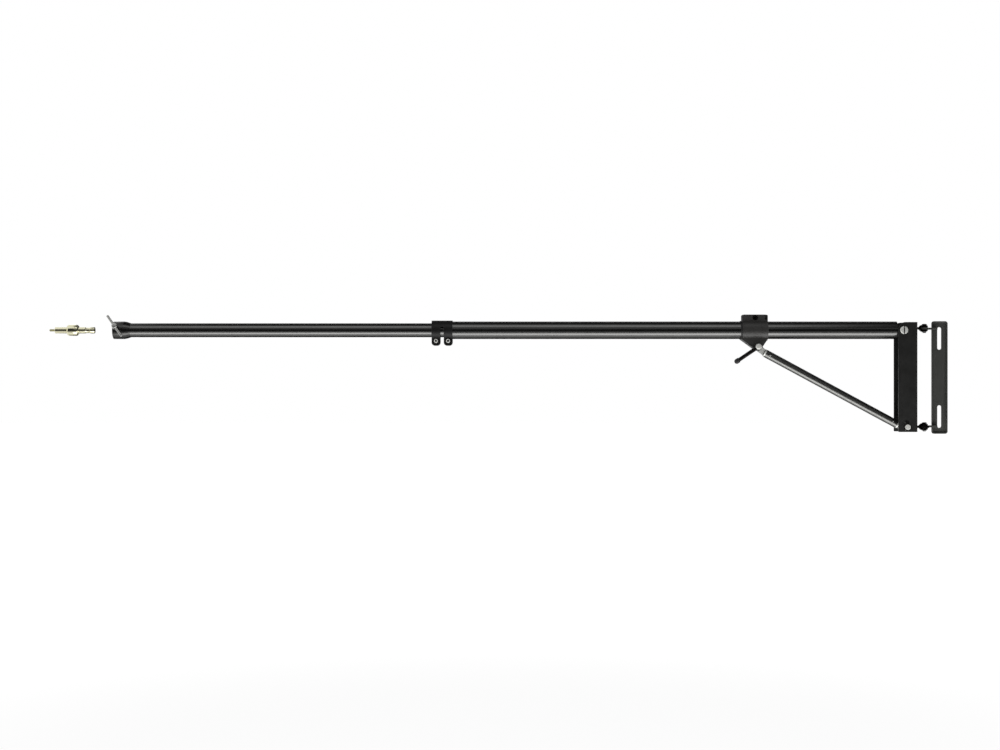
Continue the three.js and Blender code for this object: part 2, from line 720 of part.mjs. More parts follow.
// Telescopic clamp, drawn from the outer tube's end: the fixed ring lies towards the pivot
function makeTelescopicClamp() {
  const outerRadius = clampBore / 2 + clampWall;
  const lockStart = -clampRingGap - clampRingWidth;
  const earHalf = clampEarWidth / 2;
  const rings = [lockStart, 0].map((start) => {
    const end = start + clampRingWidth;
    const ring = bar('x', 2 * outerRadius, start, end, {}, tubeSides);
    const ears = block([start, end], [-earHalf, earHalf], [-clampEarDrop, 0]);
    const radii = [clampEarRadius, clampEarRadius, 0, 0];
    const side = roundedRectangle(start, end, -clampEarDrop, outerRadius, radii);
    return join(ring, ears).intersect(slabAlongY(side, -outerRadius, outerRadius));
  });
  const bridgeFloor = outerRadius * clampBridgeShare;
  const bridge = bar('x', 2 * outerRadius, lockStart, clampRingWidth, {}, tubeSides).intersect(
    block([lockStart, clampRingWidth], [-outerRadius, outerRadius], [bridgeFloor, outerRadius]));
  const bore = bar('x', clampBore, lockStart - cutOverrun, clampRingWidth + cutOverrun, {}, tubeSides);
  const splitHalf = clampSplitWidth / 2;
  const split = block(
    [lockStart - cutOverrun, clampRingWidth + cutOverrun],
    [-splitHalf, splitHalf],
    [-clampEarDrop - cutOverrun, 0]);
  const reach = outerRadius + cutOverrun;
  const holes = [lockStart, 0].map((start) => {
    const place = { x: start + clampRingWidth / 2, z: -clampScrewDrop };
    return join(
      bar('y', clampScrewDiameter + 2 * runningGap, -reach, reach, place),
      bar('y', spotFaceDiameter, -reach, -earHalf, place),
      bar('y', spotFaceDiameter, earHalf, reach, place));
  });
  const casting = cut(join(...rings, bridge), bore, split, ...holes);
  return piece('telescopic_clamp', casting, finish.blackCasting);
}

// Liner between the inner tube and the clamp's lock ring, slit at the bottom
function makeClampLiner() {
  const start = -clampRingGap - clampRingWidth;
  const outer = clampBore - 2 * runningGap;
  const bore = innerTubeDiameter + 2 * runningGap;
  const ring = tube('x', outer, bore, start, -clampRingGap, {}, tubeSides);
  const splitHalf = clampSplitWidth / 2;
  const split = block([start - cutOverrun, cutOverrun], [-splitHalf, splitHalf], [-outer, 0]);
  return piece('clamp_liner', cut(ring, split), finish.blackNylon);
}

function clampScrewAt(start) {
  const earHalf = clampEarWidth / 2;
  const place = { x: start + clampRingWidth / 2, z: -clampScrewDrop };
  const headFace = -earHalf - clampScrewHeadHeight;
  return keyedScrew(clampScrew, headFace, earHalf + clampNutHeight + screwTail, place);
}

function clampNutAt(start) {
  const earHalf = clampEarWidth / 2;
  const place = { x: start + clampRingWidth / 2, z: -clampScrewDrop };
  const bore = clampScrewDiameter + 2 * runningGap;
  return hexNut('y', clampNutAcrossFlats, bore, earHalf, earHalf + clampNutHeight, place);
}

// Outline of a collar half from the side: shoulders that run down to the lug round the strut pivot
function collarLugOutline() {
  const half = collarWidth / 2;
  const [lugX, lugZ] = [strutPivotOffset, -strutPivotDrop];
  const leftAngle = touchAngle(collarStart, -collarShoulderDrop, lugX, lugZ, lugRadius, 1);
  const rightAngle = touchAngle(half, -collarShoulderDrop, lugX, lugZ, lugRadius, -1);
  const outline = new THREE.Shape();
  outline.moveTo(half, 0);
  outline.lineTo(collarStart, 0);
  outline.lineTo(collarStart, -collarShoulderDrop);
  outline.absarc(lugX, lugZ, lugRadius, leftAngle, rightAngle + 2 * Math.PI, false);
  outline.lineTo(half, -collarShoulderDrop);
  return outline;
}

// The near half of the collar sinks its screw's head; the far half is its mirror image with a plain hole
function makeCollarHalf(name, side) {
  const half = collarWidth / 2;
  const splitHalf = collarSplitGap / 2;
  const lug = slabAlongY(collarLugOutline(), -lugOuterHalfWidth, 0);
  const ring = bar('x', 2 * collarOuterRadius, -half, half, {}, tubeSides);
  const ear = block([-half, half], [-collarEarDepth, 0], [0, collarEarRise]);
  const reach = [-collarReach, collarReach];
  const nearSide = block(reach, [-collarReach, -splitHalf], reach);
  const bore = bar('x', collarBore, collarStart - cutOverrun, half + cutOverrun, {}, tubeSides);
  const lugTop = strutTongueRadius + runningGap + cutOverrun - strutPivotDrop;
  const tongueGap = block(reach, [-lugInnerHalfWidth, 0], [-collarReach, lugTop]);
  const grooveHalf = collarGrooveWidth / 2;
  const grooveFloor = 2 * (collarOuterRadius - collarGrooveDepth);
  const groove = tube(
    'x', 2 * (collarOuterRadius + cutOverrun), grooveFloor,
    collarGrooveOffset - grooveHalf, collarGrooveOffset + grooveHalf, {}, tubeSides)
    .intersect(block([-half, half], [-collarReach, 0], [-collarShoulderDrop, collarShoulderDrop]));
  const earGrooveHalf = collarEarGrooveWidth / 2;
  const earGroove = block(
    [collarEarGrooveOffset - earGrooveHalf, collarEarGrooveOffset + earGrooveHalf],
    [-collarEarDepth - cutOverrun, collarEarGrooveDepth - collarEarDepth],
    [collarOuterRadius, collarEarRise + cutOverrun]);
  const earHole = bar(
    'y', capScrewDiameter + 2 * runningGap, -collarEarDepth - cutOverrun, cutOverrun,
    { z: collarEarScrewRise });
  const pivot = { x: strutPivotOffset, z: -strutPivotDrop };
  const screwHole = bar('y', capScrewDiameter + 2 * runningGap, -lugOuterHalfWidth - cutOverrun, 0, pivot);
  const sleeveSeat = bar(
    'y', lugSleeveDiameter + 2 * runningGap, -lugInnerHalfWidth - lugSleeveSeat - runningGap, 0, pivot);
  const body = join(ring, ear, lug).intersect(nearSide);
  const bored = cut(body, bore, tongueGap, groove, earGroove, earHole, screwHole, sleeveSeat);
  if (side === 'near') {
    const seatFloor = -collarEarDepth + capScrewHeadHeight + runningGap;
    const headSeat = bar(
      'y', capScrewHeadDiameter + 2 * runningGap, -collarEarDepth - cutOverrun, seatFloor,
      { z: collarEarScrewRise });
    return piece(name, cut(bored, headSeat), finish.blackCasting);
  }
  return piece(name, bored.mirror([0, 1, 0]), finish.blackCasting);
}

function makeCollarLiner() {
  const start = collarStart + runningGap;
  const end = collarWidth / 2 - runningGap;
  const bore = outerTubeDiameter + 2 * runningGap;
  const ring = tube('x', bore + 2 * collarLinerWall, bore, start, end, {}, tubeSides);
  const splitHalf = collarSplitGap / 2;
  const split = block([start - cutOverrun, end + cutOverrun], [-splitHalf, splitHalf], [0, bore]);
  return piece('collar_liner', cut(ring, split), finish.blackNylon);
}

function makeCollarFasteners() {
  const earPlace = { z: collarEarScrewRise };
  const headFace = -collarEarDepth + runningGap;
  const screw = keyedScrew(capScrew, headFace, collarEarDepth + smallNutHeight + screwTail, earPlace);
  const bore = capScrewDiameter + 2 * runningGap;
  const pivot = { x: strutPivotOffset, z: -strutPivotDrop };
  const earNut = hexNut(
    'y', smallNutAcrossFlats, bore, collarEarDepth, collarEarDepth + smallNutHeight, earPlace);
  const lugNut = hexNut(
    'y', smallNutAcrossFlats, bore, lugOuterHalfWidth, lugOuterHalfWidth + smallNutHeight, pivot);
  const sleeveHalf = lugInnerHalfWidth + lugSleeveSeat;
  const sleeve = tube('y', lugSleeveDiameter, bore, -sleeveHalf, sleeveHalf, pivot);
  return groupOf(
    piece('collar_ear_screw', screw, finish.blackSteel),
    piece('collar_ear_nut', earNut, finish.brightSteel),
    piece('collar_lever_nut', lugNut, finish.brightSteel),
    piece('collar_pivot_sleeve', sleeve, finish.satinChrome),
  );
}

// Collar lever, drawn from the strut pivot with its arm along -X
function makeCollarLever() {
  const hubFloor = -lugOuterHalfWidth - runningGap;
  const hubFace = hubFloor - leverHubHeight;
  const hubRadius = leverHubDiameter / 2;
  const end = lugOuterHalfWidth + smallNutHeight + screwTail;
  const armY = hubFloor - leverArmHeight;
  const armStart = hubRadius - leverArmSeat;
  const hub = join(
    turned('y', [
      [hubFace, hubRadius - leverHubDome],
      [hubFace + leverHubDome, hubRadius],
      [hubFloor, hubRadius],
    ]),
    bar('y', capScrewDiameter, hubFloor - leverHubDome, end));
  const armHole = bar(
    'x', leverArmDiameter + 2 * runningGap, -hubRadius - cutOverrun, -armStart + runningGap, { y: armY });
  const tipStart = leverReach - leverTipLength;
  const tipRadius = leverTipDiameter / 2;
  const tipRound = quarterRound(
    tipRadius - leverReach, 0, tipRadius, leverTipRoundStart, Math.PI / 2, arcSteps);
  const tip = turned('x', [
    ...tipRound,
    [-tipStart - leverTipDiameter / 4, tipRadius],
    [-tipStart, leverArmDiameter / 2 + 2 * runningGap],
  ]);
  const tipHole = bar(
    'x', leverArmDiameter + 2 * runningGap, -tipStart - leverTipSeat - runningGap, -tipStart + cutOverrun);
  const arm = bar('x', leverArmDiameter, -tipStart - leverTipSeat, -armStart, { y: armY });
  return groupOf(
    piece('collar_lever_hub', cut(hub, armHole), finish.brightSteel),
    piece('collar_lever_arm', arm, finish.blackSteel),
    piece('collar_lever_tip', cut(tip, tipHole).translate([0, armY, 0]), finish.blackNylon),
  );
}

// Flat end fitting of the strut: a round-ended tongue, then a shoulder and a plug on the tube's axis
function strutEnd(thickness, radius, hole, shoulderEnd) {
  const half = thickness / 2;
  const axis = { z: -strutTubeDrop };
  const plugDiameter = strutTubeDiameter - 2 * (strutTubeWall + runningGap);
  const shoulderDiameter = strutTubeDiameter - 2 * runningGap;
  const shoulderStart = shoulderEnd - strutShoulderLength;
  const neckHalf = strutNeckHeight / 2;
  const neck = new THREE.Shape();
  neck.moveTo(0, radius);
  neck.lineTo(0, -radius);
  neck.lineTo(shoulderEnd, -strutTubeDrop - neckHalf);
  neck.lineTo(shoulderEnd, neckHalf - strutTubeDrop);
  const body = join(
    bar('y', 2 * radius, -half, half),
    slabAlongY(neck, -half, half),
    bar('x', shoulderDiameter, shoulderStart, shoulderEnd, axis),
    bar('x', plugDiameter, shoulderStart, shoulderEnd + strutPlugLength, axis));
  return cut(body, bar('y', hole, -half - cutOverrun, half + cutOverrun));
}

function springPinHole(place) {
  const reach = strutTubeDiameter / 2 + cutOverrun;
  return bar('y', springPinDiameter + 2 * runningGap, -reach, reach, { x: place, z: -strutTubeDrop });
}

// Strut, drawn from its upper pivot with +X down to its foot
function makeStrut() {
  const tubeStart = strutUpperSetback;
  const tubeEnd = strutLength - strutFootSetback;
  const bore = strutTubeDiameter - 2 * strutTubeWall;
  const pinPlaces = [tubeStart + springPinSetback, tubeEnd - springPinSetback];
  const pinHoles = pinPlaces.map(springPinHole);
  const axis = { z: -strutTubeDrop };
  const shell = tube('x', strutTubeDiameter, bore, tubeStart, tubeEnd, axis, tubeSides);
  const sleeveHole = lugSleeveDiameter + 2 * runningGap;
  const upperShoulder = tubeStart - runningGap;
  const upper = strutEnd(strutTongueThickness, strutTongueRadius, sleeveHole, upperShoulder);
  const boltHole = footBoltDiameter + 2 * runningGap;
  const footShoulder = strutFootSetback - runningGap;
  const foot = strutEnd(strutFootThickness, strutFootRadius, boltHole, footShoulder)
    .rotate([0, 0, 180]).translate([strutLength, 0, 0]);
  const pinReach = strutTubeDiameter / 2 - runningGap;
  const pins = pinPlaces.map((place, index) => {
    const pin = bar('y', springPinDiameter, -pinReach, pinReach, { x: place, z: -strutTubeDrop });
    return piece(`strut_spring_pin_${index + 1}`, pin, finish.brightSteel);
  });
  return groupOf(
    piece('strut_tube', cut(shell, ...pinHoles), finish.satinChrome),
    piece('strut_upper_fitting', cut(upper, pinHoles[0]), finish.satinChrome),
    piece('strut_foot_fitting', cut(foot, pinHoles[1]), finish.satinChrome),
    ...pins,
  );
}

// Foot pivot: a bolt that rides in the channel's two slots, with spacers and washers
function makeFootPivot() {
  const washerOut = channelHalfWidth + footWasherThickness;
  const end = washerOut + footNutHeight + footBoltTail;
  const headFace = -washerOut - footBoltHeadHeight;
  const bore = footBoltDiameter + 2 * runningGap;
  const headRadius = footBoltHeadDiameter / 2;
  const boltRadius = footBoltDiameter / 2;
  const round = footBoltHeadRound;
  const bolt = turned('y', [
    ...quarterRound(headFace + round, headRadius - round, round, Math.PI, Math.PI / 2, boltHeadSteps),
    [-washerOut, headRadius],
    [-washerOut, boltRadius],
    [end - boltEndChamfer, boltRadius],
    [end, boltRadius - boltEndChamfer],
  ]);
  const spacerDiameter = bore + 2 * footSpacerWall;
  const spacerInside = strutFootThickness / 2 + runningGap / 2;
  const spacerOutside = channelInnerHalf - runningGap;
  const nearSpacer = tube('y', spacerDiameter, bore, -spacerOutside, -spacerInside);
  const farSpacer = tube('y', spacerDiameter, bore, spacerInside, spacerOutside);
  const nearWasher = tube('y', footWasherDiameter, bore, -washerOut, -channelHalfWidth);
  const farWasher = tube('y', footWasherDiameter, bore, channelHalfWidth, washerOut);
  const nut = hexNut('y', footNutAcrossFlats, bore, washerOut, washerOut + footNutHeight);
  return groupOf(
    piece('foot_pivot_bolt', bolt, finish.brightSteel),
    piece('foot_near_spacer', nearSpacer, finish.blackNylon),
    piece('foot_far_spacer', farSpacer, finish.blackNylon),
    piece('foot_near_washer', nearWasher, finish.blackSteel),
    piece('foot_far_washer', farWasher, finish.blackSteel),
    piece('foot_pivot_nut', nut, finish.brightSteel),
  );
}

// Inner tube, drawn from the socket's shoulder with +X into the outer tube
function makeInnerTube() {
  const shell = tube('x', innerTubeDiameter, innerBore, runningGap, innerTubeLength, {}, tubeSides);
  const hole = flushScrewHole(socketScrewPlace, innerTubeDiameter, innerTubeWall);
  return piece('inner_tube', cut(shell, hole), finish.blackAnodised);
}

function makeInnerTubeBush() {
  const plugDiameter = innerBore - 2 * runningGap;
  const flangeDiameter = outerBore - 2 * bushTubeGap;
  const flangeStart = innerTubeLength + runningGap;
  const body = join(
    bar('x', plugDiameter, innerTubeLength - bushPlugLength, flangeStart, {}, tubeSides),
    bar('x', flangeDiameter, flangeStart, flangeStart + bushFlangeLength, {}, tubeSides));
  const hollow = bar(
    'x', plugDiameter - 2 * innerTubeWall, innerTubeLength - bushPlugLength - cutOverrun,
    flangeStart + bushFlangeLength + cutOverrun);
  return piece('inner_tube_bush', cut(body, hollow), finish.blackNylon);
}

// Socket casting with its plug in the inner tube and a boss for the lock screw
function makeSocket() {
  const radius = socketDiameter / 2;
  const lipRadius = innerTubeDiameter / 2 + socketTubeLip;
  const plugRadius = innerBore / 2 - runningGap;
  const body = turned('x', [
    [-socketLength, radius - socketMouthChamfer],
    [socketMouthChamfer - socketLength, radius],
    [-socketTaperLength, radius],
    [-socketTaperLength / 2, (radius + lipRadius) / 2 + socketTubeLip],
    [0, lipRadius],
    [0, plugRadius],
    [socketPlugLength, plugRadius],
  ], tubeSides);
  const boss = bar('z', lockBossDiameter, 0, radius + lockBossHeight);
  const screwHole = bar('z', lockScrewDiameter + 2 * runningGap, 0, radius + lockBossHeight + cutOverrun);
  const turn = 90 - lockScrewRiseAngle;
  const place = [lockScrewSetback - socketLength, 0, 0];
  const boreEnd = socketBoreDepth - socketLength;
  const bore = bar('x', socketBore, -socketLength - cutOverrun, boreEnd, {}, tubeSides);
  const casting = cut(
    join(body, boss.rotate([turn, 0, 0]).translate(place)),
    bore,
    screwHole.rotate([turn, 0, 0]).translate(place),
    flushScrewHole(socketScrewPlace, innerTubeDiameter, innerTubeWall));
  return piece('socket_casting', casting, finish.blackCasting);
}

function makeSocketScrew() {
  const screw = flushScrew(socketScrewPlace, innerTubeDiameter, innerTubeWall);
  return piece('socket_set_screw', screw, finish.blackSteel);
}

// Socket lock screw, drawn from the socket's axis with +Z out along the screw
function makeSocketLock() {
  const hubFloor = socketDiameter / 2 + lockBossHeight + runningGap;
  const hubRadius = lockHubDiameter / 2;
  const barZ = hubFloor + lockBarHeight;
  const screw = join(
    turned('z', [
      [hubFloor, hubRadius],
      [hubFloor + lockHubHeight - lockHubDome, hubRadius],
      [hubFloor + lockHubHeight, hubRadius - lockHubDome],
    ]),
    bar('z', lockScrewDiameter, socketBore / 2 + runningGap, hubFloor + lockHubDome));
  const barHalf = lockBarLength / 2;
  const barRadius = lockBarDiameter / 2;
  const hole = bar('x', lockBarDiameter + 2 * runningGap, -barHalf, barHalf)
    .rotate([0, 0, -lockBarAngle]).translate([0, 0, barZ]);
  const handle = turned('x', [
    [-barHalf, barRadius - lockBarChamfer],
    [lockBarChamfer - barHalf, barRadius],
    [barHalf - lockBarChamfer, barRadius],
    [barHalf, barRadius - lockBarChamfer],
  ]).rotate([0, 0, -lockBarAngle]).translate([0, 0, barZ]);
  return groupOf(
    piece('socket_lock_screw', cut(screw, hole), finish.satinChrome),
    piece('socket_lock_bar', handle, finish.brightSteel),
  );
}

// Spigot, drawn from its inner end with -X out to its stud
function makeSpigot() {
  const radius = spigotDiameter / 2;
  const collarStart = -spigotInnerLength;
  const collarEnd = collarStart - spigotCollarLength;
  const bodyEnd = collarEnd - spigotOuterLength;
  const collarRadius = spigotCollarDiameter / 2;
  const roundCentre = collarRadius - spigotCollarRound;
  const grooveStart = -spigotGrooveStart - spigotGrooveLength;
  const grooveRadius = radius - spigotGrooveDepth;
  const outerRound = quarterRound(
    collarEnd + spigotCollarRound, roundCentre, spigotCollarRound, Math.PI, Math.PI / 2, arcSteps);
  const innerRound = quarterRound(
    collarStart - spigotCollarRound, roundCentre, spigotCollarRound, Math.PI / 2, 0, arcSteps);
  const body = turned('x', [
    [bodyEnd, radius - spigotChamfer],
    [bodyEnd + spigotChamfer, radius],
    [collarEnd, radius],
    ...outerRound,
    ...innerRound,
    [collarStart, radius],
    [grooveStart, radius],
    [grooveStart + spigotGrooveDepth, grooveRadius],
    [-spigotGrooveStart - spigotGrooveDepth, grooveRadius],
    [-spigotGrooveStart, radius],
    [-spigotChamfer, radius],
    [0, radius - spigotChamfer],
  ]);
  const studHole = bar(
    'x', spigotStudDiameter + 2 * runningGap, bodyEnd - cutOverrun, bodyEnd + spigotStudSeat + runningGap);
  const studEnd = bodyEnd - spigotStudLength;
  const studRadius = spigotStudDiameter / 2;
  const stud = turned('x', [
    [studEnd, studRadius - spigotChamfer],
    [studEnd + spigotChamfer, studRadius],
    [bodyEnd + spigotStudSeat, studRadius],
  ]);
  return groupOf(
    piece('spigot_body', cut(body, studHole), finish.paleBrass),
    piece('spigot_stud', stud, finish.paleBrass),
  );
}

// A hinge is one lug on the plate, one fork on the channel, one pin and its clip
function makeHinge(prefix) {
  return groupOf(
    makeHingeLug(`${prefix}_hinge_lug`),
    makeHingeFork(`${prefix}_hinge_fork`),
    makeHingePin(`${prefix}_hinge_pin`),
    makePinClip(`${prefix}_hinge_clip`),
  );
}

// Everything that is drawn from the hinge axis
function makeUpright() {
  const upperHinge = makeHinge('upper');
  upperHinge.position.set(0, 0, hingeSpacing / 2);
  const lowerHinge = makeHinge('lower');
  lowerHinge.position.set(0, 0, -hingeSpacing / 2);
  const boomPivot = makeBoomPivot();
  boomPivot.position.set(boomPivotX, 0, boomHeight);
  return groupOf(makeChannel(), upperHinge, lowerHinge, boomPivot);
}

// Everything that is drawn from the boom pivot
function makeBoom() {
  const lockStart = -clampRingGap - clampRingWidth;
  const clamp = groupOf(
    makeTelescopicClamp(),
    makeClampLiner(),
    piece('clamp_fixing_screw', clampScrewAt(0), finish.brightSteel),
    piece('extension_lock_screw', clampScrewAt(lockStart), finish.brightSteel),
    piece('clamp_fixing_nut', clampNutAt(0), finish.brightSteel),
    piece('extension_lock_nut', clampNutAt(lockStart), finish.brightSteel),
  );
  clamp.position.set(outerTubeEnd, 0, 0);
  return groupOf(makeOuterTube(), makeRootFitting(), makeRootScrews(), makeFrictionWashers(), clamp);
}

function makeCollar() {
  const lever = makeCollarLever();
  lever.position.set(strutPivotOffset, 0, -strutPivotDrop);
  lever.rotation.y = -THREE.MathUtils.degToRad(leverDropAngle);
  return groupOf(
    makeCollarHalf('collar_near_half', 'near'),
    makeCollarHalf('collar_far_half', 'far'),
    makeCollarLiner(),
    makeCollarFasteners(),
    lever,
  );
}

function makeInner() {
  const lock = makeSocketLock();
  lock.position.set(lockScrewSetback - socketLength, 0, 0);
  lock.rotation.x = THREE.MathUtils.degToRad(90 - lockScrewRiseAngle);
  return groupOf(makeInnerTube(), makeInnerTubeBush(), makeSocket(), makeSocketScrew(), lock);
}

// The whole arm, with every group placed from the hinge axis
function makeArm() {
  const upright = makeUpright();
  const boom = makeBoom();
  boom.position.set(boomPivotX, 0, boomHeight);
  const collar = makeCollar();
  collar.position.set(collarX, 0, boomHeight);
  const strut = makeStrut();
  strut.position.set(strutPivotX, 0, strutPivotHeight);
  strut.rotation.y = strutAngle;
  const footPivot = makeFootPivot();
  footPivot.position.set(footPivotX, 0, footHeight);
  const inner = makeInner();
  inner.position.set(socketX, 0, boomHeight);
  const spigot = makeSpigot();
  spigot.position.set(spigotX, 0, boomHeight);
  const arm = groupOf(upright, boom, collar, strut, footPivot, inner, spigot);
  arm.position.set(-plateToHinge, -hingeAxisToWall, 0);
  return arm;
}

const part = groupOf(makeWallPlate(), makeArm());

export default part;
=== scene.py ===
"""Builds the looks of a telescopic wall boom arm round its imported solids, in metres and in their frame."""

import math

import bmesh
import bpy
from mathutils import Matrix, Vector


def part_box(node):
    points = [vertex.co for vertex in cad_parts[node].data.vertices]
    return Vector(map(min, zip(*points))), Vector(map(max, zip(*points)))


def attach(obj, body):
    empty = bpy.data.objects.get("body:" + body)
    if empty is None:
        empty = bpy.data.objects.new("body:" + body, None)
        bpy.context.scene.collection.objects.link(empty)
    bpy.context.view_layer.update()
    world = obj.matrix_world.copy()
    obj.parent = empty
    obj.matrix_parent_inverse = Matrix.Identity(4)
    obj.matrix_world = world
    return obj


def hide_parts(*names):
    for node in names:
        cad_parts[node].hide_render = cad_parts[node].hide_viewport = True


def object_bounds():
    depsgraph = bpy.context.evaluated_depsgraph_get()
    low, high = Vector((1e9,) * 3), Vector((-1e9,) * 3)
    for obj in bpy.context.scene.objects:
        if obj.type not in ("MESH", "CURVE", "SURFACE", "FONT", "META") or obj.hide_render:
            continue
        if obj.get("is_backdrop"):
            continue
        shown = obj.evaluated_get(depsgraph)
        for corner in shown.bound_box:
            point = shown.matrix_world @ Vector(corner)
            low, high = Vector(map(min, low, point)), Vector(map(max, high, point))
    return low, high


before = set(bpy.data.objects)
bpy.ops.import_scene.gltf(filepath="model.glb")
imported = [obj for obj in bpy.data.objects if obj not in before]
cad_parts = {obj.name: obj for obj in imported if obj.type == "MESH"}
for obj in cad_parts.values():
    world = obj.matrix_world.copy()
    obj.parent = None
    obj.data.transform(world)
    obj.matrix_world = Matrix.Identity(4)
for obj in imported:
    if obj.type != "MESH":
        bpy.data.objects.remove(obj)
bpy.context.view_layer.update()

bl_info = {
    "name": "Wall boom arm",
    "version": (1, 0, 0),
    "blender": (4, 5, 0),
    "location": "3D View > Sidebar > Boom arm",
    "description": "Builds the looks of a telescopic wall boom arm round its packed solids",
    "category": "Object",
}

MM = 0.001
# Play on a diameter between a hole and what goes through it, and the gap between faces that meet
FIT = 0.6 * MM
GAP = 0.3 * MM
# How far a cutting tool runs past the piece that it cuts
OVERRUN = MM
# How near to a face an edge counts as lying on it
TOUCH = 0.01 * MM
QUARTER_TURN = math.radians(90)


# Measures read from the frame

def middle(node):
    low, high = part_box(node)
    return (low + high) / 2


def extent(node):
    low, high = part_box(node)
    return high - low


BOOM_AXIS = middle("boom_pivot_sleeve")
FOOT_AXIS = Vector((middle("foot_near_washer").x, BOOM_AXIS.y, middle("foot_near_washer").z))
STRUT_AXIS = middle("collar_pivot_sleeve")
TUBE_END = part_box("outer_tube")[0].x
SOCKET_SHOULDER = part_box("inner_tube")[0].x - GAP
SPIGOT_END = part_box("spigot_body")[1].x
STRUT_LENGTH = (FOOT_AXIS - STRUT_AXIS).length
STRUT_ANGLE = math.atan2(STRUT_AXIS.z - FOOT_AXIS.z, FOOT_AXIS.x - STRUT_AXIS.x)
HINGE_AXES = {
    side: Vector((
        middle(f"{side}_hinge_pin").x, middle(f"{side}_hinge_pin").y, middle(f"{side}_hinge_lug").z))
    for side in ("upper", "lower")}


# Properties that a user would change

def linear(hex_code):
    """An sRGB hex colour as linear red, green and blue."""
    channels = [int(hex_code[i:i + 2], 16) / 255 for i in (1, 3, 5)]
    return tuple(c / 12.92 if c <= 0.04045 else ((c + 0.055) / 1.055) ** 2.4 for c in channels)


def length(name, description, default):
    """A length property, whose default is given in millimetres."""
    return bpy.props.FloatProperty(
        name=name, description=description, default=default * MM, min=0.0, precision=5,
        unit="LENGTH", subtype="DISTANCE")


def share(name, description, default):
    return bpy.props.FloatProperty(
        name=name, description=description, default=default, min=0.0, subtype="FACTOR")


def angle(name, description, default):
    """An angle property, whose default is given in degrees."""
    return bpy.props.FloatProperty(
        name=name, description=description, default=math.radians(default), unit="ROTATION", subtype="ANGLE")


def paint(name, description, hex_code):
    return bpy.props.FloatVectorProperty(
        name=name, description=description, default=linear(hex_code), min=0.0, max=1.0, size=3,
        subtype="COLOR")


class ArmFinish(bpy.types.PropertyGroup):
    """Colours and grain sizes of the finishes."""
    anodised: paint("Anodised tube", "Dyed oxide film of the two boom tubes", "#5f5f5e")
    socket: paint("Turned socket", "Black anodising on the turned socket", "#484847")
    casting: paint("Casting", "Powder coat on the boom's castings", "#131212")
    # Partly a painted highlight: the castings' powder coat made lighter for the collar, standing in for the
    # upper light that the collar's top catches
    collar: paint("Collar", "Powder coat on the sliding collar", "#302f2e")
    sheet: paint("Folded sheet", "Powder coat on the upright channel", "#1a1a19")
    plate: paint("Wall plate", "Powder coat on the wall plate", "#3c3d3a")
    blackened: paint("Blackened steel", "Oiled black oxide on the small steel pieces", "#21201f")
    chrome: paint("Satin chrome", "Chrome plate over ground steel", "#b4b4b1")
    strut: paint("Strut plate", "Satin black-chrome plate on the strut", "#7a7a78")
    zinc: paint("Bright zinc", "Clear zinc plate on the bright fasteners", "#dededb")
    # Painted shade: the dark colour that the bright fasteners' slots, sockets and thread roots are darkened
    # towards
    oil: paint("Old oil", "Oil and dust in the recesses of the bright fasteners", "#2a2826")
    brass: paint("Washed brass", "Thin nickel wash over turned brass", "#dcdabf")
    nylon: paint("Nylon", "Carbon-filled moulded nylon", "#111111")
    edge_break: length("Edge break", "Width of the broken edges on machined pieces", 0.4)
    casting_round: length("Casting round", "Radius on the edges of the castings", 0.8)
    peel_spacing: length("Orange peel", "Spacing of the bumps in the powder coat", 1.1)
    die_line_spacing: length("Die lines", "Spacing of the drawing lines on the tubes", 1.2)
    tool_mark_spacing: length("Tool marks", "Spacing of the turning rings", 0.8)


class ArmSteps(bpy.types.PropertyGroup):
    """How finely round shapes are drawn."""
    large: bpy.props.IntProperty(
        name="Tube steps", description="Steps round a tube or ring", default=96, min=16)
    medium: bpy.props.IntProperty(
        name="Turning steps", description="Steps round a small turned piece", default=64, min=16)
    small: bpy.props.IntProperty(
        name="Bar steps", description="Steps round a bolt, pin or bar", default=48, min=12)
    cross_hole: bpy.props.IntProperty(
        name="Cross hole steps", description="Steps round a cross hole, and in a turn of a thread",
        default=32, min=12)
    tiny: bpy.props.IntProperty(
        name="Tiny steps", description="Steps round a hole of a millimetre or two", default=24, min=8)
    corner: bpy.props.IntProperty(
        name="Corner steps", description="Steps in a rounded corner", default=6, min=2)


class PlateSizes(bpy.types.PropertyGroup):
    """Wall plate, a shallow pressed tray with two upright slots."""
    thickness: length("Sheet", "Thickness of the plate's sheet", 3)
    corner: length("Corner", "Radius of the plate's corners", 6)
    bend: length("Bend", "Radius where the floor turns up into the lips", 2)
    slot_width: length("Slot width", "Width of the wall screws' slots", 10)
    slot_length: length("Slot length", "Length of the wall screws' slots", 57)
    slot_margin: length("Slot margin", "From the plate's end to its slot", 15)


class HingeSizes(bpy.types.PropertyGroup):
    """Two hinges, each a lug, a fork, a pin and a clip."""
    eye: length("Eye", "Diameter of the eyes round the pin", 18)
    lug_thickness: length("Lug thickness", "Height of the lug between the fork's prongs", 5)
    lug_width: length("Lug width", "Width of the lug's neck", 10)
    lug_bar: length("Lug bar", "Depth of the lug's bar over the plate", 7.5)
    prong: length("Prong", "Height of each of the fork's prongs", 5.5)
    eye_round: length("Eye round", "Radius of the fork's corners, seen from the side", 6.5)
    pin: length("Pin", "Diameter of the hinge pin", 8)
    pin_head: length("Pin head", "Diameter of the pin's domed head", 13)
    shank: length("Fork shank", "Diameter of the shank riveted through the channel", 6)
    rivet: length("Rivet head", "Diameter of the riveted end inside the channel", 12)


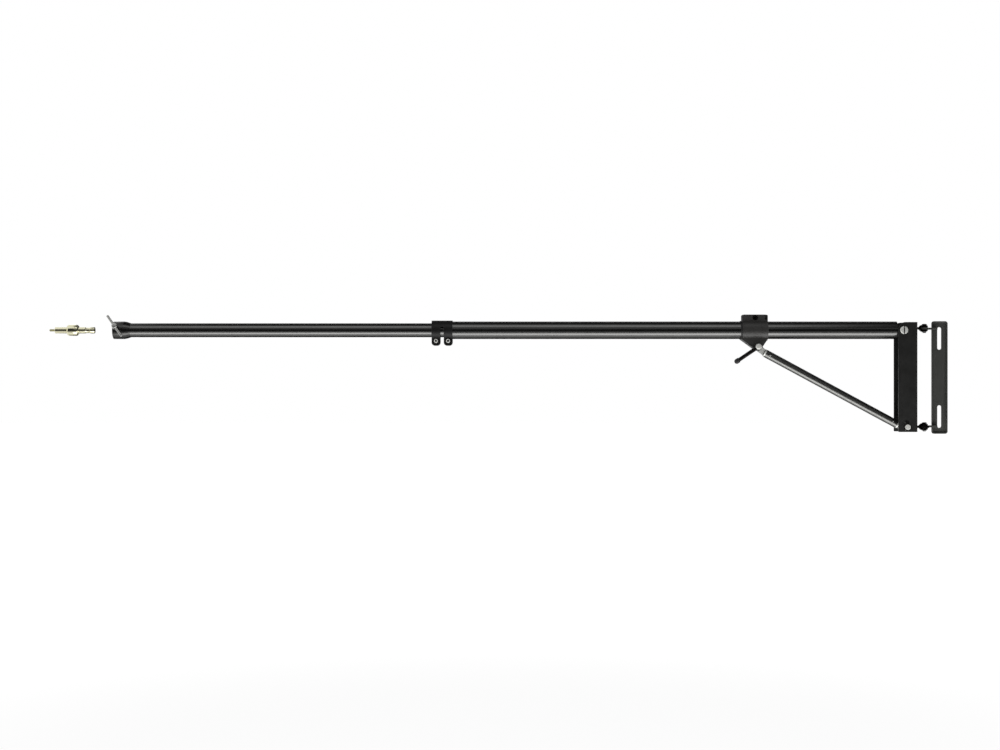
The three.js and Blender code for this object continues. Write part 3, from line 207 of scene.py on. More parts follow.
class ChannelSizes(bpy.types.PropertyGroup):
    """Upright channel, folded from sheet and open towards the boom."""
    sheet: length("Sheet", "Thickness of the channel's sheet", 3)
    bend: length("Bend", "Outer radius of the two folds", 5)
    top_corner: length("Top corner", "Radius at the cheeks' upper front corners", 18)
    foot_corner: length("Foot corner", "Radius at the cheeks' lower front corners", 2)
    foot_slot_width: length("Slot width", "Width of the slot that the foot bolt rides in", 12)
    foot_slot_below: length("Slot floor", "From the foot bolt's axis down to the slot's end", 5.3)
    foot_slot_above: length("Slot top", "From the foot bolt's axis up to the slot's end", 17.3)


class PivotSizes(bpy.types.PropertyGroup):
    """Boom pivot and foot pivot."""
    bolt: length("Bolt", "Diameter of both pivot bolts", 10)
    head: length("Boom bolt head", "Diameter of the boom bolt's slotted head", 20)
    head_height: length("Boom bolt head height", "Height of the slotted head", 5)
    driver_slot: length("Driver slot", "Width and depth of the slot in the boom bolt's head", 3)
    foot_head: length("Foot bolt head", "Diameter of the foot bolt's head", 13.5)
    nut: length("Nut", "Across the flats of both nuts", 17)
    pitch: length("Pitch", "Pitch of both bolts' threads", 1.5)


class TubeSizes(bpy.types.PropertyGroup):
    """Outer and inner boom tubes and the fitting in the outer tube's root."""
    wall: length("Outer wall", "Wall of the outer tube", 3)
    inner_wall: length("Inner wall", "Wall of the inner tube", 2)
    tongue_width: length("Tongue width", "Width of the root fitting's tongue", 38)
    tongue_height: length("Tongue height", "Height of the root fitting's tongue", 30)
    screw_head: length("Flush screw", "Diameter of the flush screws' heads", 9)
    screw: length("Flush screw thread", "Diameter of the flush screws' shanks", 5)
    screw_key: length("Flush screw key", "Across the flats of the flush screws' keys", 3)


class ClampSizes(bpy.types.PropertyGroup):
    """Clamp where the inner tube leaves the outer tube."""
    ring: length("Ring width", "Width of each of the two rings", 21.85)
    gap: length("Ring gap", "Gap between the two rings", 8.5)
    wall: length("Wall", "Wall of the rings", 2)
    bridge: share("Bridge", "Height of the bridge's floor, as a share of the rings' radius", 0.35)
    ear_width: length("Ear width", "Width over both ears", 24)
    ear_drop: length("Ear drop", "From the tube's axis to the ears' lower ends", 38.5)
    ear_round: length("Ear round", "Radius of the ears' lower corners", 8)
    screw_drop: length("Screw drop", "From the tube's axis to the screws", 26.6)
    split: length("Split", "Width of the split between the ears", 4)
    screw: length("Screw", "Diameter of the clamp screws", 6)
    screw_head: length("Screw head", "Diameter of the cap screws' heads", 10)
    screw_head_height: length("Screw head height", "Height of the cap screws' heads", 6)
    key: length("Key", "Across the flats of the cap screws' keys", 5)
    nut: length("Nut", "Across the flats of the clamp's nuts", 10)
    spot_face: length("Spot face", "Diameter of the flats under heads and nuts", 12.15)


class CollarSizes(bpy.types.PropertyGroup):
    """Sliding collar in two halves that carries the strut."""
    width: length("Width", "Width of the collar over its ears", 63)
    overhang: length("Overhang", "How far the lug and the liner run on towards the tip", 5)
    wall: length("Wall", "Wall of the ring", 2.2)
    split: length("Split", "Gap between the two halves", 3)
    ear_rise: length("Ear rise", "From the tube's axis to the ears' top", 39)
    ear_depth: length("Ear depth", "From the split to the ears' outer face", 14)
    screw_rise: length("Screw rise", "From the tube's axis to the ears' screw", 31)
    shoulder: length("Shoulder", "From the tube's axis to the flanks' upper ends", 21.5)
    lug_round: length("Lug round", "Radius of the lug round the strut's pivot", 9.5)
    lug_half: length("Lug half width", "From the middle to the lug's outer face", 18)
    tongue_half: length("Tongue half gap", "From the middle to the lug's inner face", 4.6)
    ear_groove: length("Ear groove", "Width and depth of the groove down the ears", 6)
    ear_groove_place: length("Ear groove place", "From the ear screw to the groove's middle", 27)
    screw: length("Screw", "Diameter of the ear screw and of the lever's stud", 8)
    screw_head: length("Screw head", "Diameter of the ear screw's head", 13)
    screw_head_height: length("Screw head height", "Height of the ear screw's head", 8)
    key: length("Key", "Across the flats of the ear screw's key", 6)
    nut: length("Nut", "Across the flats of the collar's nuts", 13)
    sleeve: length("Sleeve", "Diameter of the sleeve in the lug", 12)


class LeverSizes(bpy.types.PropertyGroup):
    """Lever that tightens the collar."""
    hub: length("Hub", "Diameter of the hub", 15)
    hub_height: length("Hub height", "Height of the hub", 14)
    arm: length("Arm", "Diameter of the arm", 9.6)
    reach: length("Reach", "From the pivot to the tip's end", 71.5)
    tip: length("Tip", "Diameter of the tip", 12.6)
    tip_length: length("Tip length", "Length of the tip", 13)
    drop: angle("Drop", "How far the arm hangs below level", 34)


class StrutSizes(bpy.types.PropertyGroup):
    """Diagonal strut."""
    tube: length("Tube", "Diameter of the strut's tube", 20)
    wall: length("Wall", "Wall of the strut's tube", 1.5)
    upper_setback: length("Upper setback", "From the upper pivot to the tube's end", 26.5)
    foot_setback: length("Foot setback", "From the foot pivot to the tube's end", 22)
    upper_thickness: length("Upper tongue", "Thickness of the upper tongue", 8)
    upper_round: length("Upper round", "Radius of the upper tongue", 9)
    foot_thickness: length("Foot tongue", "Thickness of the foot's tongue", 12)
    foot_round: length("Foot round", "Radius of the foot's tongue", 10)
    spring_pin: length("Spring pin", "Diameter of the spring pins", 4)
    drop: length("Tube drop", "How far the tube's axis lies below the line between the pivots", 4.5)
    neck: length("Neck", "Height of the tongues where they meet their shoulders", 15)


class SocketSizes(bpy.types.PropertyGroup):
    """Socket on the inner tube's tip and its lock screw."""
    outer: length("Socket", "Diameter of the socket", 44)
    length: length("Socket length", "From the mouth to the shoulder", 42.4)
    bore: length("Bore", "Diameter of the bore", 16.6)
    bore_depth: length("Bore depth", "Depth of the bore", 42)
    taper: length("Taper", "Length of the taper towards the tube", 15)
    boss: length("Boss", "Diameter of the lock screw's boss", 16)
    boss_height: length("Boss height", "Height of the boss over the socket", 5)
    lock: length("Lock screw", "Diameter of the lock screw", 8)
    lock_setback: length("Lock setback", "From the mouth to the lock screw", 8.8)
    lock_rise: angle("Lock rise", "How far the lock screw points above level", 17)
    hub: length("Hub", "Diameter of the lock screw's hub", 14)
    hub_height: length("Hub height", "Height of the lock screw's hub", 12.5)
    bar: length("Bar", "Diameter of the sliding bar", 6)
    bar_length: length("Bar length", "Length of the sliding bar", 67)
    bar_turn: angle("Bar turn", "Turn of the bar round the lock screw", 54)


class SpigotSizes(bpy.types.PropertyGroup):
    """Loose spigot that goes into the socket."""
    body: length("Spigot", "Diameter of the barrels", 16)
    inner: length("Inner barrel", "Length of the barrel that goes into the socket", 39.5)
    collar: length("Collar length", "Length of the domed collar", 30)
    collar_outer: length("Collar", "Diameter of the domed collar", 28)
    collar_round: length("Collar round", "Radius of the collar's domes", 7)
    outer: length("Outer barrel", "Length of the outer barrel", 29.5)
    stud: length("Stud", "Diameter of the stud", 6.35)
    stud_length: length("Stud length", "Length of the stud outside the barrel", 14.2)
    pitch: length("Pitch", "Pitch of the stud's thread", 1.27)
    groove_start: length("Groove start", "From the inner end to the groove", 10.8)
    groove: length("Groove length", "Length of the groove", 12.5)
    groove_depth: length("Groove depth", "Depth of the groove", 1)


class StageSizes(bpy.types.PropertyGroup):
    """Floor, lamps and camera."""
    floor: paint("Floor", "Pale studio floor", "#e9e9e7")
    floor_drop: length("Floor drop", "From the wall plate's middle down to the floor", 950)
    lens: bpy.props.FloatProperty(
        name="Lens", description="Focal length of the camera", default=63.36, min=1.0,
        unit="CAMERA", subtype="DISTANCE_CAMERA")
    camera_distance: length("Camera distance", "From the boom's axis to the camera", 4400)
    camera_place: bpy.props.FloatProperty(
        name="Camera place", description="From the wall plate's middle along the boom to the camera",
        default=-1108.7 * MM, precision=5, unit="LENGTH", subtype="DISTANCE")
    camera_height: length("Camera height", "From the wall plate's middle up to the camera", 6.3)
    upper_lamp: share("Upper lamp", "Brightness of the long softbox above the front", 1.1)
    lower_lamp: share("Lower lamp", "Brightness of the long softbox below the front", 2.9)
    rear_lamp: share("Rear lamp", "Brightness of the softbox behind", 1.4)
    fill: share("Fill", "Brightness of the room for matt surfaces", 0.35)


# Modelling helpers. Shapes are drawn from a local origin and moved into place at the end.

TO_AXIS = {
    "x": Matrix.Identity(4),
    "y": Matrix.Rotation(QUARTER_TURN, 4, "Z"),
    "z": Matrix.Rotation(-QUARTER_TURN, 4, "Y"),
}


def steps_of(kind):
    return getattr(bpy.context.scene.arm_steps, kind)


def outline_face(bm, corners):
    """A flat face in X and Y; a corner's third number is the radius that rounds it."""
    points = [Vector((corner[0], corner[1], 0.0)) for corner in corners]
    verts = [bm.verts.new(point) for point in points]
    bm.faces.new(verts)
    for index, corner in enumerate(corners):
        if len(corner) > 2 and corner[2] > 0:
            before = (points[index - 1] - points[index]).normalized()
            after = (points[(index + 1) % len(points)] - points[index]).normalized()
            reach = corner[2] / math.tan(before.angle(after) / 2)
            bmesh.ops.bevel(
                bm, geom=[verts[index]], offset=reach, offset_type="ABSOLUTE", segments=steps_of("corner"),
                profile=0.5, affect="VERTICES", clamp_overlap=False, material=-1)


def piece_from(bm, name):
    """Makes an object of a finished bmesh, with its doubles merged and its faces outwards."""
    bmesh.ops.remove_doubles(bm, verts=bm.verts[:], dist=0.0005 * MM)
    bmesh.ops.recalc_face_normals(bm, faces=bm.faces[:])
    mesh = bpy.data.meshes.new(name)
    bm.to_mesh(mesh)
    bm.free()
    piece = bpy.data.objects.new(name, mesh)
    bpy.context.scene.collection.objects.link(piece)
    return piece


def turned(name, axis, section, centre=(0, 0, 0), steps="small"):
    """Spins a section of (place, radius, corner radius) points round an axis through the centre.
    A section that starts and ends on the axis is solid, any other is a ring."""
    bm = bmesh.new()
    outline_face(bm, section)
    bmesh.ops.delete(bm, geom=bm.faces[:], context="FACES_ONLY")
    on_axis = [edge for edge in bm.edges if all(abs(vert.co.y) < 1e-9 for vert in edge.verts)]
    bmesh.ops.delete(bm, geom=on_axis, context="EDGES")
    bmesh.ops.spin(
        bm, geom=bm.verts[:] + bm.edges[:], cent=(0, 0, 0), axis=(1, 0, 0), angle=2 * math.pi,
        steps=steps_of(steps), use_merge=True, use_duplicate=False)
    bmesh.ops.transform(bm, verts=bm.verts[:], matrix=Matrix.Translation(centre) @ TO_AXIS[axis])
    return piece_from(bm, name)


def bar(name, axis, diameter, start, end, centre=(0, 0, 0), steps="small"):
    radius = diameter / 2
    return turned(name, axis, [(start, 0), (start, radius), (end, radius), (end, 0)], centre, steps)


def ring(name, axis, outer, bore, start, end, centre=(0, 0, 0), steps="small"):
    outer_radius, inner_radius = outer / 2, bore / 2
    section = [(start, inner_radius), (start, outer_radius), (end, outer_radius), (end, inner_radius)]
    return turned(name, axis, section, centre, steps)


def slab(name, axis, corners, start, end):
    """Extrudes a flat outline along an axis: Y and Z for x, X and Z for y, X and Y for z."""
    bm = bmesh.new()
    outline_face(bm, corners)
    extruded = bmesh.ops.extrude_face_region(bm, geom=bm.faces[:])["geom"]
    moved = [item for item in extruded if isinstance(item, bmesh.types.BMVert)]
    bmesh.ops.translate(bm, verts=moved, vec=(0, 0, end - start))
    bmesh.ops.translate(bm, verts=bm.verts[:], vec=(0, 0, start))
    turn = {
        "x": Matrix(((0, 0, 1, 0), (1, 0, 0, 0), (0, 1, 0, 0), (0, 0, 0, 1))),
        "y": Matrix(((1, 0, 0, 0), (0, 0, 1, 0), (0, 1, 0, 0), (0, 0, 0, 1))),
        "z": Matrix.Identity(4),
    }[axis]
    bmesh.ops.transform(bm, verts=bm.verts[:], matrix=turn)
    return piece_from(bm, name)


def rectangle(left, right, low, high, corner=0):
    """The corners of a rectangle, each with the radius that rounds it."""
    return [(left, low, corner), (right, low, corner), (right, high, corner), (left, high, corner)]


def block(name, x, y, z):
    return slab(name, "z", rectangle(*x, *y), *z)


def hexagon_bar(name, axis, flats, start, end, centre):
    """A hexagonal bar along an axis through the centre."""
    radius = flats / 2 / math.cos(math.radians(30))
    corners = [math.radians(60 * i) for i in range(6)]
    prism = slab(name, "z", [(radius * math.cos(a), radius * math.sin(a)) for a in corners], start, end)
    for step in (TO_AXIS["z"].inverted(), TO_AXIS[axis], Matrix.Translation(centre)):
        moved(prism, step)
    return prism


def combine(target, operation, *tools):
    """Joins, cuts or intersects a piece with tools, which are used up."""
    for tool in tools:
        step = target.modifiers.new(operation.lower(), "BOOLEAN")
        step.operation = operation
        step.solver = "EXACT"
        step.object = tool
    depsgraph = bpy.context.evaluated_depsgraph_get()
    result = bpy.data.meshes.new_from_object(target.evaluated_get(depsgraph))
    before = target.data
    target.modifiers.clear()
    target.data = result
    result.name = target.name
    bpy.data.meshes.remove(before)
    for tool in tools:
        used = tool.data
        bpy.data.objects.remove(tool)
        bpy.data.meshes.remove(used)
    bm = bmesh.new()
    bm.from_mesh(target.data)
    bmesh.ops.remove_doubles(bm, verts=bm.verts[:], dist=0.002 * MM)
    bmesh.ops.dissolve_degenerate(bm, edges=bm.edges[:], dist=0.002 * MM)
    bm.to_mesh(target.data)
    bm.free()
    return target


def cut(target, *tools):
    return combine(target, "DIFFERENCE", *tools)


def join(target, *others):
    return combine(target, "UNION", *others)


def keep_inside(target, *tools):
    return combine(target, "INTERSECT", *tools)


def round_edges(target, radius, chosen, steps=None):
    """Rounds the edges whose middle passes the test."""
    bm = bmesh.new()
    bm.from_mesh(target.data)
    edges = [edge for edge in bm.edges if chosen((edge.verts[0].co + edge.verts[1].co) / 2, edge)]
    bmesh.ops.bevel(
        bm, geom=edges, offset=radius, offset_type="OFFSET", segments=steps or steps_of("corner"),
        profile=0.5, affect="EDGES", clamp_overlap=True, material=-1)
    bmesh.ops.recalc_face_normals(bm, faces=bm.faces[:])
    bm.to_mesh(target.data)
    bm.free()
    return target


def moved(piece, matrix):
    """Moves a piece's mesh, so that its object stays at the origin."""
    piece.data.transform(matrix)
    return piece


def threaded(name, axis, section, major, pitch, start, end, centre=(0, 0, 0)):
    """A turned core with a helical ridge between two places along it."""
    core = turned(name, axis, section, centre)
    root = major / 2 - 0.61 * pitch
    bm = bmesh.new()
    corners = [(start, root), (start + 0.8 * pitch, root), (start + 0.4 * pitch, major / 2)]
    outline_face(bm, corners)
    bmesh.ops.delete(bm, geom=bm.faces[:], context="FACES_ONLY")
    turns = max(1, int((end - start) / pitch - 0.8))
    steps = steps_of("cross_hole")
    bmesh.ops.spin(
        bm, geom=bm.verts[:] + bm.edges[:], cent=(0, 0, 0), axis=(1, 0, 0), dvec=(pitch / steps, 0, 0),
        angle=2 * math.pi * turns, steps=steps * turns, use_merge=False, use_duplicate=False)
    bmesh.ops.holes_fill(bm, edges=bm.edges[:], sides=3)
    bmesh.ops.transform(bm, verts=bm.verts[:], matrix=Matrix.Translation(centre) @ TO_AXIS[axis])
    return join(core, piece_from(bm, name + "_ridge"))


def hex_nut(name, axis, flats, bore, start, end, centre=(0, 0, 0)):
    """A nut with its corners turned off on both faces and a countersunk bore."""
    corner = flats / 2 / math.cos(math.radians(30))
    facing = flats / 2 * 0.95
    slope = (corner - facing) * math.tan(math.radians(30))
    prism = hexagon_bar(name, axis, flats, start, end, centre)
    shape = turned(name + "_shape", axis, [
        (start, 0), (start, facing), (start + slope, corner), (start + slope, corner + MM),
        (end - slope, corner + MM), (end - slope, corner), (end, facing), (end, 0)], centre)
    sink = 0.6 * MM
    hole = turned(name + "_hole", axis, [
        (start - OVERRUN, 0), (start - OVERRUN, bore / 2 + sink + OVERRUN), (start + sink, bore / 2),
        (end - sink, bore / 2), (end + OVERRUN, bore / 2 + sink + OVERRUN), (end + OVERRUN, 0)], centre)
    return cut(keep_inside(prism, shape), hole)


def cap_screw(name, axis, head, head_height, key, shank, face, end, centre=(0, 0, 0)):
    """A cap screw with a hexagon key, from its head's face to its end."""
    core = turned(name, axis, [
        (face, 0), (face, head / 2, 0.9 * MM), (face + head_height, head / 2, 0.3 * MM),
        (face + head_height, shank / 2), (end, shank / 2, 0.8 * MM), (end, 0)], centre)
    key_tool = hexagon_bar(name + "_key", axis, key, face - OVERRUN, face + head_height / 2, centre)
    sink = turned(name + "_sink", axis, [
        (face - OVERRUN, 0), (face - OVERRUN, key / 2 * 1.12 + OVERRUN), (face + key / 2 * 0.12, key / 2),
        (face + MM, 0)],
        centre)
    return cut(core, key_tool, sink)


# Handing finished pieces over to the frame


def hand_over(piece, body, node, finish, edge=None, segments=2):
    """Breaks a piece's edges, gives it its finish and ties it to the frame."""
    mesh = piece.data
    mesh.materials.clear()
    mesh.materials.append(finish_named(finish))
    mesh.shade_smooth()
    mesh.set_sharp_from_angle(angle=math.radians(32))
    width = bpy.context.scene.arm_finish.edge_break if edge is None else edge
    if width > 0:
        bevel = piece.modifiers.new("edge_break", "BEVEL")
        bevel.width = width
        bevel.segments = segments
        bevel.limit_method = "ANGLE"
        bevel.angle_limit = math.radians(32)
        bevel.harden_normals = True
    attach(piece, body)
    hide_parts(node)
    return piece


def seated_ring(name, node, body, finish, bore, centre, edge=None):
    """A ring across the arm, as thick and as long as its solid."""
    low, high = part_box(node)
    piece = ring(name, "y", high.x - low.x, bore, low.y, high.y, (centre.x, 0, centre.z))
    hand_over(piece, body, node, finish, edge)


def seated_nut(name, node, body, flats, bore, centre, edge):
    """A bright nut across the arm, as long as its solid."""
    low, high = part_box(node)
    nut = hex_nut(name, "y", flats, bore, low.y, high.y, (centre.x, 0, centre.z))
    hand_over(nut, body, node, "zinc", edge)


# Materials

MIX_A, MIX_B, MIX_RESULT = 6, 7, 2


def add_node(tree, kind, inputs=None, **settings):
    """Adds a node with its settings, its values and its links."""
    node = tree.nodes.new(kind)
    for name, value in settings.items():
        setattr(node, name, value)
    for name, value in (inputs or {}).items():
        if isinstance(value, bpy.types.NodeSocket):
            tree.links.new(value, node.inputs[name])
        else:
            node.inputs[name].default_value = value
    return node


def rgba(colour, factor=1.0):
    return (*[min(1.0, channel * factor) for channel in colour], 1.0)


def empty_tree(owner):
    """The node tree of a new material or world, with nothing in it."""
    owner.use_nodes = True
    owner.node_tree.nodes.clear()
    return owner.node_tree


def start_material(name, **constants):
    """A material with its shader's plain values, and its Object coordinates."""
    material = bpy.data.materials.new(name)
    tree = empty_tree(material)
    shader = add_node(tree, "ShaderNodeBsdfPrincipled", constants)
    add_node(tree, "ShaderNodeOutputMaterial", {"Surface": shader.outputs["BSDF"]})
    coords = add_node(tree, "ShaderNodeTexCoord").outputs["Object"]
    return material, tree, shader, coords


def lay_on(material, shader, colour, rough, relief=None):
    """Links a material's patterns to its shader."""
    for socket, value in (("Base Color", colour), ("Roughness", rough), ("Normal", relief)):
        if value:
            material.node_tree.links.new(value, shader.inputs[socket])
    return material


def worn_edges(tree, coords, colour, bare, amount):
    """Mixes a lighter colour in along the edges, broken up where the piece was handled."""
    rounded = add_node(tree, "ShaderNodeBevel", {"Radius": 0.9 * MM}, samples=4)
    flat = add_node(tree, "ShaderNodeNewGeometry").outputs["Normal"]
    turn = add_node(
        tree, "ShaderNodeVectorMath", {0: rounded.outputs["Normal"], 1: flat}, operation="DOT_PRODUCT")
    edge = add_node(tree, "ShaderNodeMapRange", {
        "Value": turn.outputs["Value"], "From Min": 0.985, "From Max": 0.86, "To Max": amount})
    # Handling marks come in patches about 12 mm across
    patches = add_node(tree, "ShaderNodeTexNoise", {
        "Vector": coords, "Scale": 1 / (12 * MM), "Detail": 4.0, "Roughness": 0.65})
    broken = add_node(tree, "ShaderNodeMapRange", {
        "Value": patches.outputs["Fac"], "From Min": 0.42, "From Max": 0.62})
    share_worn = add_node(
        tree, "ShaderNodeMath", {0: edge.outputs["Result"], 1: broken.outputs["Result"]},
        operation="MULTIPLY")
    return add_node(tree, "ShaderNodeMix", {
        0: share_worn.outputs["Value"], MIX_A: colour, MIX_B: rgba(bare)},
        data_type="RGBA").outputs[MIX_RESULT]


def anodised_aluminium(name, finish, dye, stretch, smoothest, roughest):
    """Aluminium, etched and dyed black: a dark satin metal with faint lines left by the die or the tool.
    The lines lie a few tenths of a millimetre apart; they are drawn coarser, so that they show."""
    material, tree, shader, coords = start_material(name, Metallic=1.0)
    stretched = add_node(tree, "ShaderNodeMapping", {"Vector": coords, "Scale": stretch}).outputs["Vector"]
    lines = add_node(tree, "ShaderNodeTexNoise", {
        "Vector": stretched, "Scale": 1.0, "Detail": 3.0, "Roughness": 0.6}).outputs["Fac"]
    # The dye takes unevenly over some 90 mm
    clouds = add_node(tree, "ShaderNodeTexNoise", {
        "Vector": coords, "Scale": 1 / (90 * MM), "Detail": 3.0}).outputs["Fac"]
    film = add_node(tree, "ShaderNodeMix", {
        0: clouds, MIX_A: rgba(dye, 0.92), MIX_B: rgba(dye, 1.1)},
        data_type="RGBA").outputs[MIX_RESULT]
    colour = worn_edges(tree, coords, film, linear("#8d8d8b"), 0.5)
    rough = add_node(tree, "ShaderNodeMapRange", {
        "Value": lines, "From Min": 0.3, "From Max": 0.7,
        "To Min": smoothest, "To Max": roughest}).outputs["Result"]
    relief = add_node(tree, "ShaderNodeBump", {"Height": lines, "Distance": 0.006 * MM}).outputs["Normal"]
    return lay_on(material, shader, colour, rough, relief)


def powder_coat(name, finish, colour, roughness, cast, bare, shine=0.5):
    """Baked polyester powder on metal: orange peel about a millimetre across, and on a casting the
    grain of the mould under it."""
    material, tree, shader, coords = start_material(
        name, **{"Metallic": 0.0, "IOR": 1.5, "Specular IOR Level": shine})
    peel = add_node(tree, "ShaderNodeTexNoise", {
        "Vector": coords, "Scale": 1 / finish.peel_spacing, "Detail": 1.5, "Roughness": 0.45}).outputs["Fac"]
    # Dust and polish marks over some 25 mm
    marks = add_node(tree, "ShaderNodeTexNoise", {
        "Vector": coords, "Scale": 1 / (25 * MM), "Detail": 5.0, "Roughness": 0.6}).outputs["Fac"]
    shade = add_node(tree, "ShaderNodeMix", {
        0: marks, MIX_A: rgba(colour, 0.88), MIX_B: rgba(colour, 1.14)}, data_type="RGBA").outputs[MIX_RESULT]
    worn = worn_edges(tree, coords, shade, bare, 0.55)
    rough = add_node(tree, "ShaderNodeMapRange", {
        "Value": marks, "From Min": 0.3, "From Max": 0.7,
        "To Min": roughness - 0.05, "To Max": roughness + 0.06}).outputs["Result"]
    relief = add_node(tree, "ShaderNodeBump", {"Height": peel, "Distance": 0.03 * MM}).outputs["Normal"]
    if cast:
        # Sand grain of the mould, softened by the coat, some 2.5 mm across
        grain = add_node(tree, "ShaderNodeTexNoise", {
            "Vector": coords, "Scale": 1 / (2.5 * MM), "Detail": 3.0}).outputs["Fac"]
        relief = add_node(tree, "ShaderNodeBump", {
            "Height": grain, "Distance": 0.12 * MM, "Normal": relief}).outputs["Normal"]
    return lay_on(material, shader, worn, rough, relief)


def blackened_steel(name, finish):
    """Turned steel with an oiled black oxide: dark, slightly blue, with bright rubbed edges."""
    material, tree, shader, coords = start_material(name, Metallic=1.0)
    clouds = add_node(tree, "ShaderNodeTexNoise", {
        "Vector": coords, "Scale": 1 / (6 * MM), "Detail": 4.0}).outputs["Fac"]
    oxide = add_node(tree, "ShaderNodeMix", {
        0: clouds, MIX_A: rgba(finish.blackened, 0.8), MIX_B: rgba(finish.blackened, 1.25)},
        data_type="RGBA").outputs[MIX_RESULT]
    colour = worn_edges(tree, coords, oxide, linear("#a3a19d"), 0.6)
    rough = add_node(tree, "ShaderNodeMapRange", {
        "Value": clouds, "To Min": 0.3, "To Max": 0.46}).outputs["Result"]
    return lay_on(material, shader, colour, rough)


def ground_chrome(name, finish, plate, roughness, direction):
    """Chrome plate over ground steel or tube: bright, with fine grinding rings across its axis."""
    material, tree, shader, coords = start_material(name, Metallic=1.0)
    local = add_node(tree, "ShaderNodeMapping", {"Vector": coords, "Rotation": direction}).outputs["Vector"]
    # Centreless grinding leaves rings under 0.1 mm apart; they are drawn 0.9 mm apart, so that they show
    stretched = add_node(tree, "ShaderNodeMapping", {
        "Vector": local, "Scale": (1 / (0.9 * MM), 8.0, 8.0)}).outputs["Vector"]
    rings = add_node(tree, "ShaderNodeTexNoise", {
        "Vector": stretched, "Scale": 1.0, "Detail": 2.0}).outputs["Fac"]
    smears = add_node(tree, "ShaderNodeTexNoise", {
        "Vector": coords, "Scale": 1 / (40 * MM), "Detail": 4.0, "Roughness": 0.6}).outputs["Fac"]
    colour = add_node(tree, "ShaderNodeMix", {
        0: smears, MIX_A: rgba(plate, 0.93), MIX_B: rgba(plate, 1.05)},
        data_type="RGBA").outputs[MIX_RESULT]
    rough = add_node(tree, "ShaderNodeMapRange", {
        "Value": rings, "From Min": 0.3, "From Max": 0.7,
        "To Min": roughness - 0.05, "To Max": roughness + 0.05}).outputs["Result"]
    relief = add_node(tree, "ShaderNodeBump", {"Height": rings, "Distance": 0.004 * MM}).outputs["Normal"]
    return lay_on(material, shader, colour, rough, relief)


def clear_zinc(name, finish):
    """Steel with bright clear zinc plate: light grey with a faint bluish and yellowish bloom."""
    material, tree, shader, coords = start_material(name, Metallic=0.35)
    bloom = add_node(tree, "ShaderNodeTexNoise", {
        "Vector": coords, "Scale": 1 / (5 * MM), "Detail": 3.0}).outputs["Fac"]
    cool = rgba([channel * factor for channel, factor in zip(finish.zinc, (0.93, 0.97, 1.02))])
    warm = rgba([channel * factor for channel, factor in zip(finish.zinc, (1.03, 1.0, 0.93))])
    colour = add_node(tree, "ShaderNodeMix", {
        0: bloom, MIX_A: cool, MIX_B: warm}, data_type="RGBA").outputs[MIX_RESULT]
    # Painted shade: slots, sockets and thread roots up to some 4 mm deep are darkened towards a dark colour
    # wherever ambient occlusion finds them enclosed
    open_sky = add_node(tree, "ShaderNodeAmbientOcclusion", {"Distance": 4 * MM}, samples=8).outputs["AO"]
    unshaded = add_node(tree, "ShaderNodeMapRange", {
        "Value": open_sky, "From Min": 0.5, "From Max": 0.85}).outputs["Result"]
    colour = add_node(tree, "ShaderNodeMix", {
        0: unshaded, MIX_A: rgba(finish.oil), MIX_B: colour}, data_type="RGBA").outputs[MIX_RESULT]
    spangle = add_node(tree, "ShaderNodeTexVoronoi", {
        "Vector": coords, "Scale": 1 / (1.4 * MM)}).outputs["Distance"]
    rough = add_node(tree, "ShaderNodeMapRange", {
        "Value": spangle, "To Min": 0.3, "To Max": 0.42}).outputs["Result"]
    return lay_on(material, shader, colour, rough)


def washed_brass(name, finish):
    """Turned brass under a thin nickel wash: a pale yellow metal with turning rings across its axis."""
    material, tree, shader, coords = start_material(name, Metallic=1.0)
    spacing = finish.tool_mark_spacing
    stretched = add_node(tree, "ShaderNodeMapping", {
        "Vector": coords, "Scale": (1 / spacing, 4.0, 4.0)}).outputs["Vector"]
    rings = add_node(tree, "ShaderNodeTexNoise", {
        "Vector": stretched, "Scale": 1.0, "Detail": 2.0, "Roughness": 0.7}).outputs["Fac"]
    tarnish = add_node(tree, "ShaderNodeTexNoise", {
        "Vector": coords, "Scale": 1 / (14 * MM), "Detail": 4.0, "Roughness": 0.6}).outputs["Fac"]
    warm = rgba([channel * factor for channel, factor in zip(finish.brass, (1.0, 0.97, 0.88))])
    colour = add_node(tree, "ShaderNodeMix", {
        0: tarnish, MIX_A: rgba(finish.brass), MIX_B: warm}, data_type="RGBA").outputs[MIX_RESULT]
    rough = add_node(tree, "ShaderNodeMapRange", {
        "Value": rings, "From Min": 0.3, "From Max": 0.7, "To Min": 0.1, "To Max": 0.19}).outputs["Result"]
    relief = add_node(tree, "ShaderNodeBump", {"Height": rings, "Distance": 0.006 * MM}).outputs["Normal"]
    return lay_on(material, shader, colour, rough, relief)


def moulded_nylon(name, finish):
    """Injection-moulded black nylon: matt, with the fine spark-eroded texture of its mould."""
    material, tree, shader, coords = start_material(name, Metallic=0.0, IOR=1.53)
    grain = add_node(tree, "ShaderNodeTexNoise", {
        "Vector": coords, "Scale": 1 / (0.5 * MM), "Detail": 2.0}).outputs["Fac"]
    scuffs = add_node(tree, "ShaderNodeTexNoise", {
        "Vector": coords, "Scale": 1 / (8 * MM), "Detail": 5.0, "Roughness": 0.7}).outputs["Fac"]
    colour = add_node(tree, "ShaderNodeMix", {
        0: scuffs, MIX_A: rgba(finish.nylon, 0.85), MIX_B: rgba(finish.nylon, 1.3)},
        data_type="RGBA").outputs[MIX_RESULT]
    rough = add_node(tree, "ShaderNodeMapRange", {
        "Value": scuffs, "To Min": 0.5, "To Max": 0.66}).outputs["Result"]
    relief = add_node(tree, "ShaderNodeBump", {"Height": grain, "Distance": 0.02 * MM}).outputs["Normal"]
    return lay_on(material, shader, colour, rough, relief)


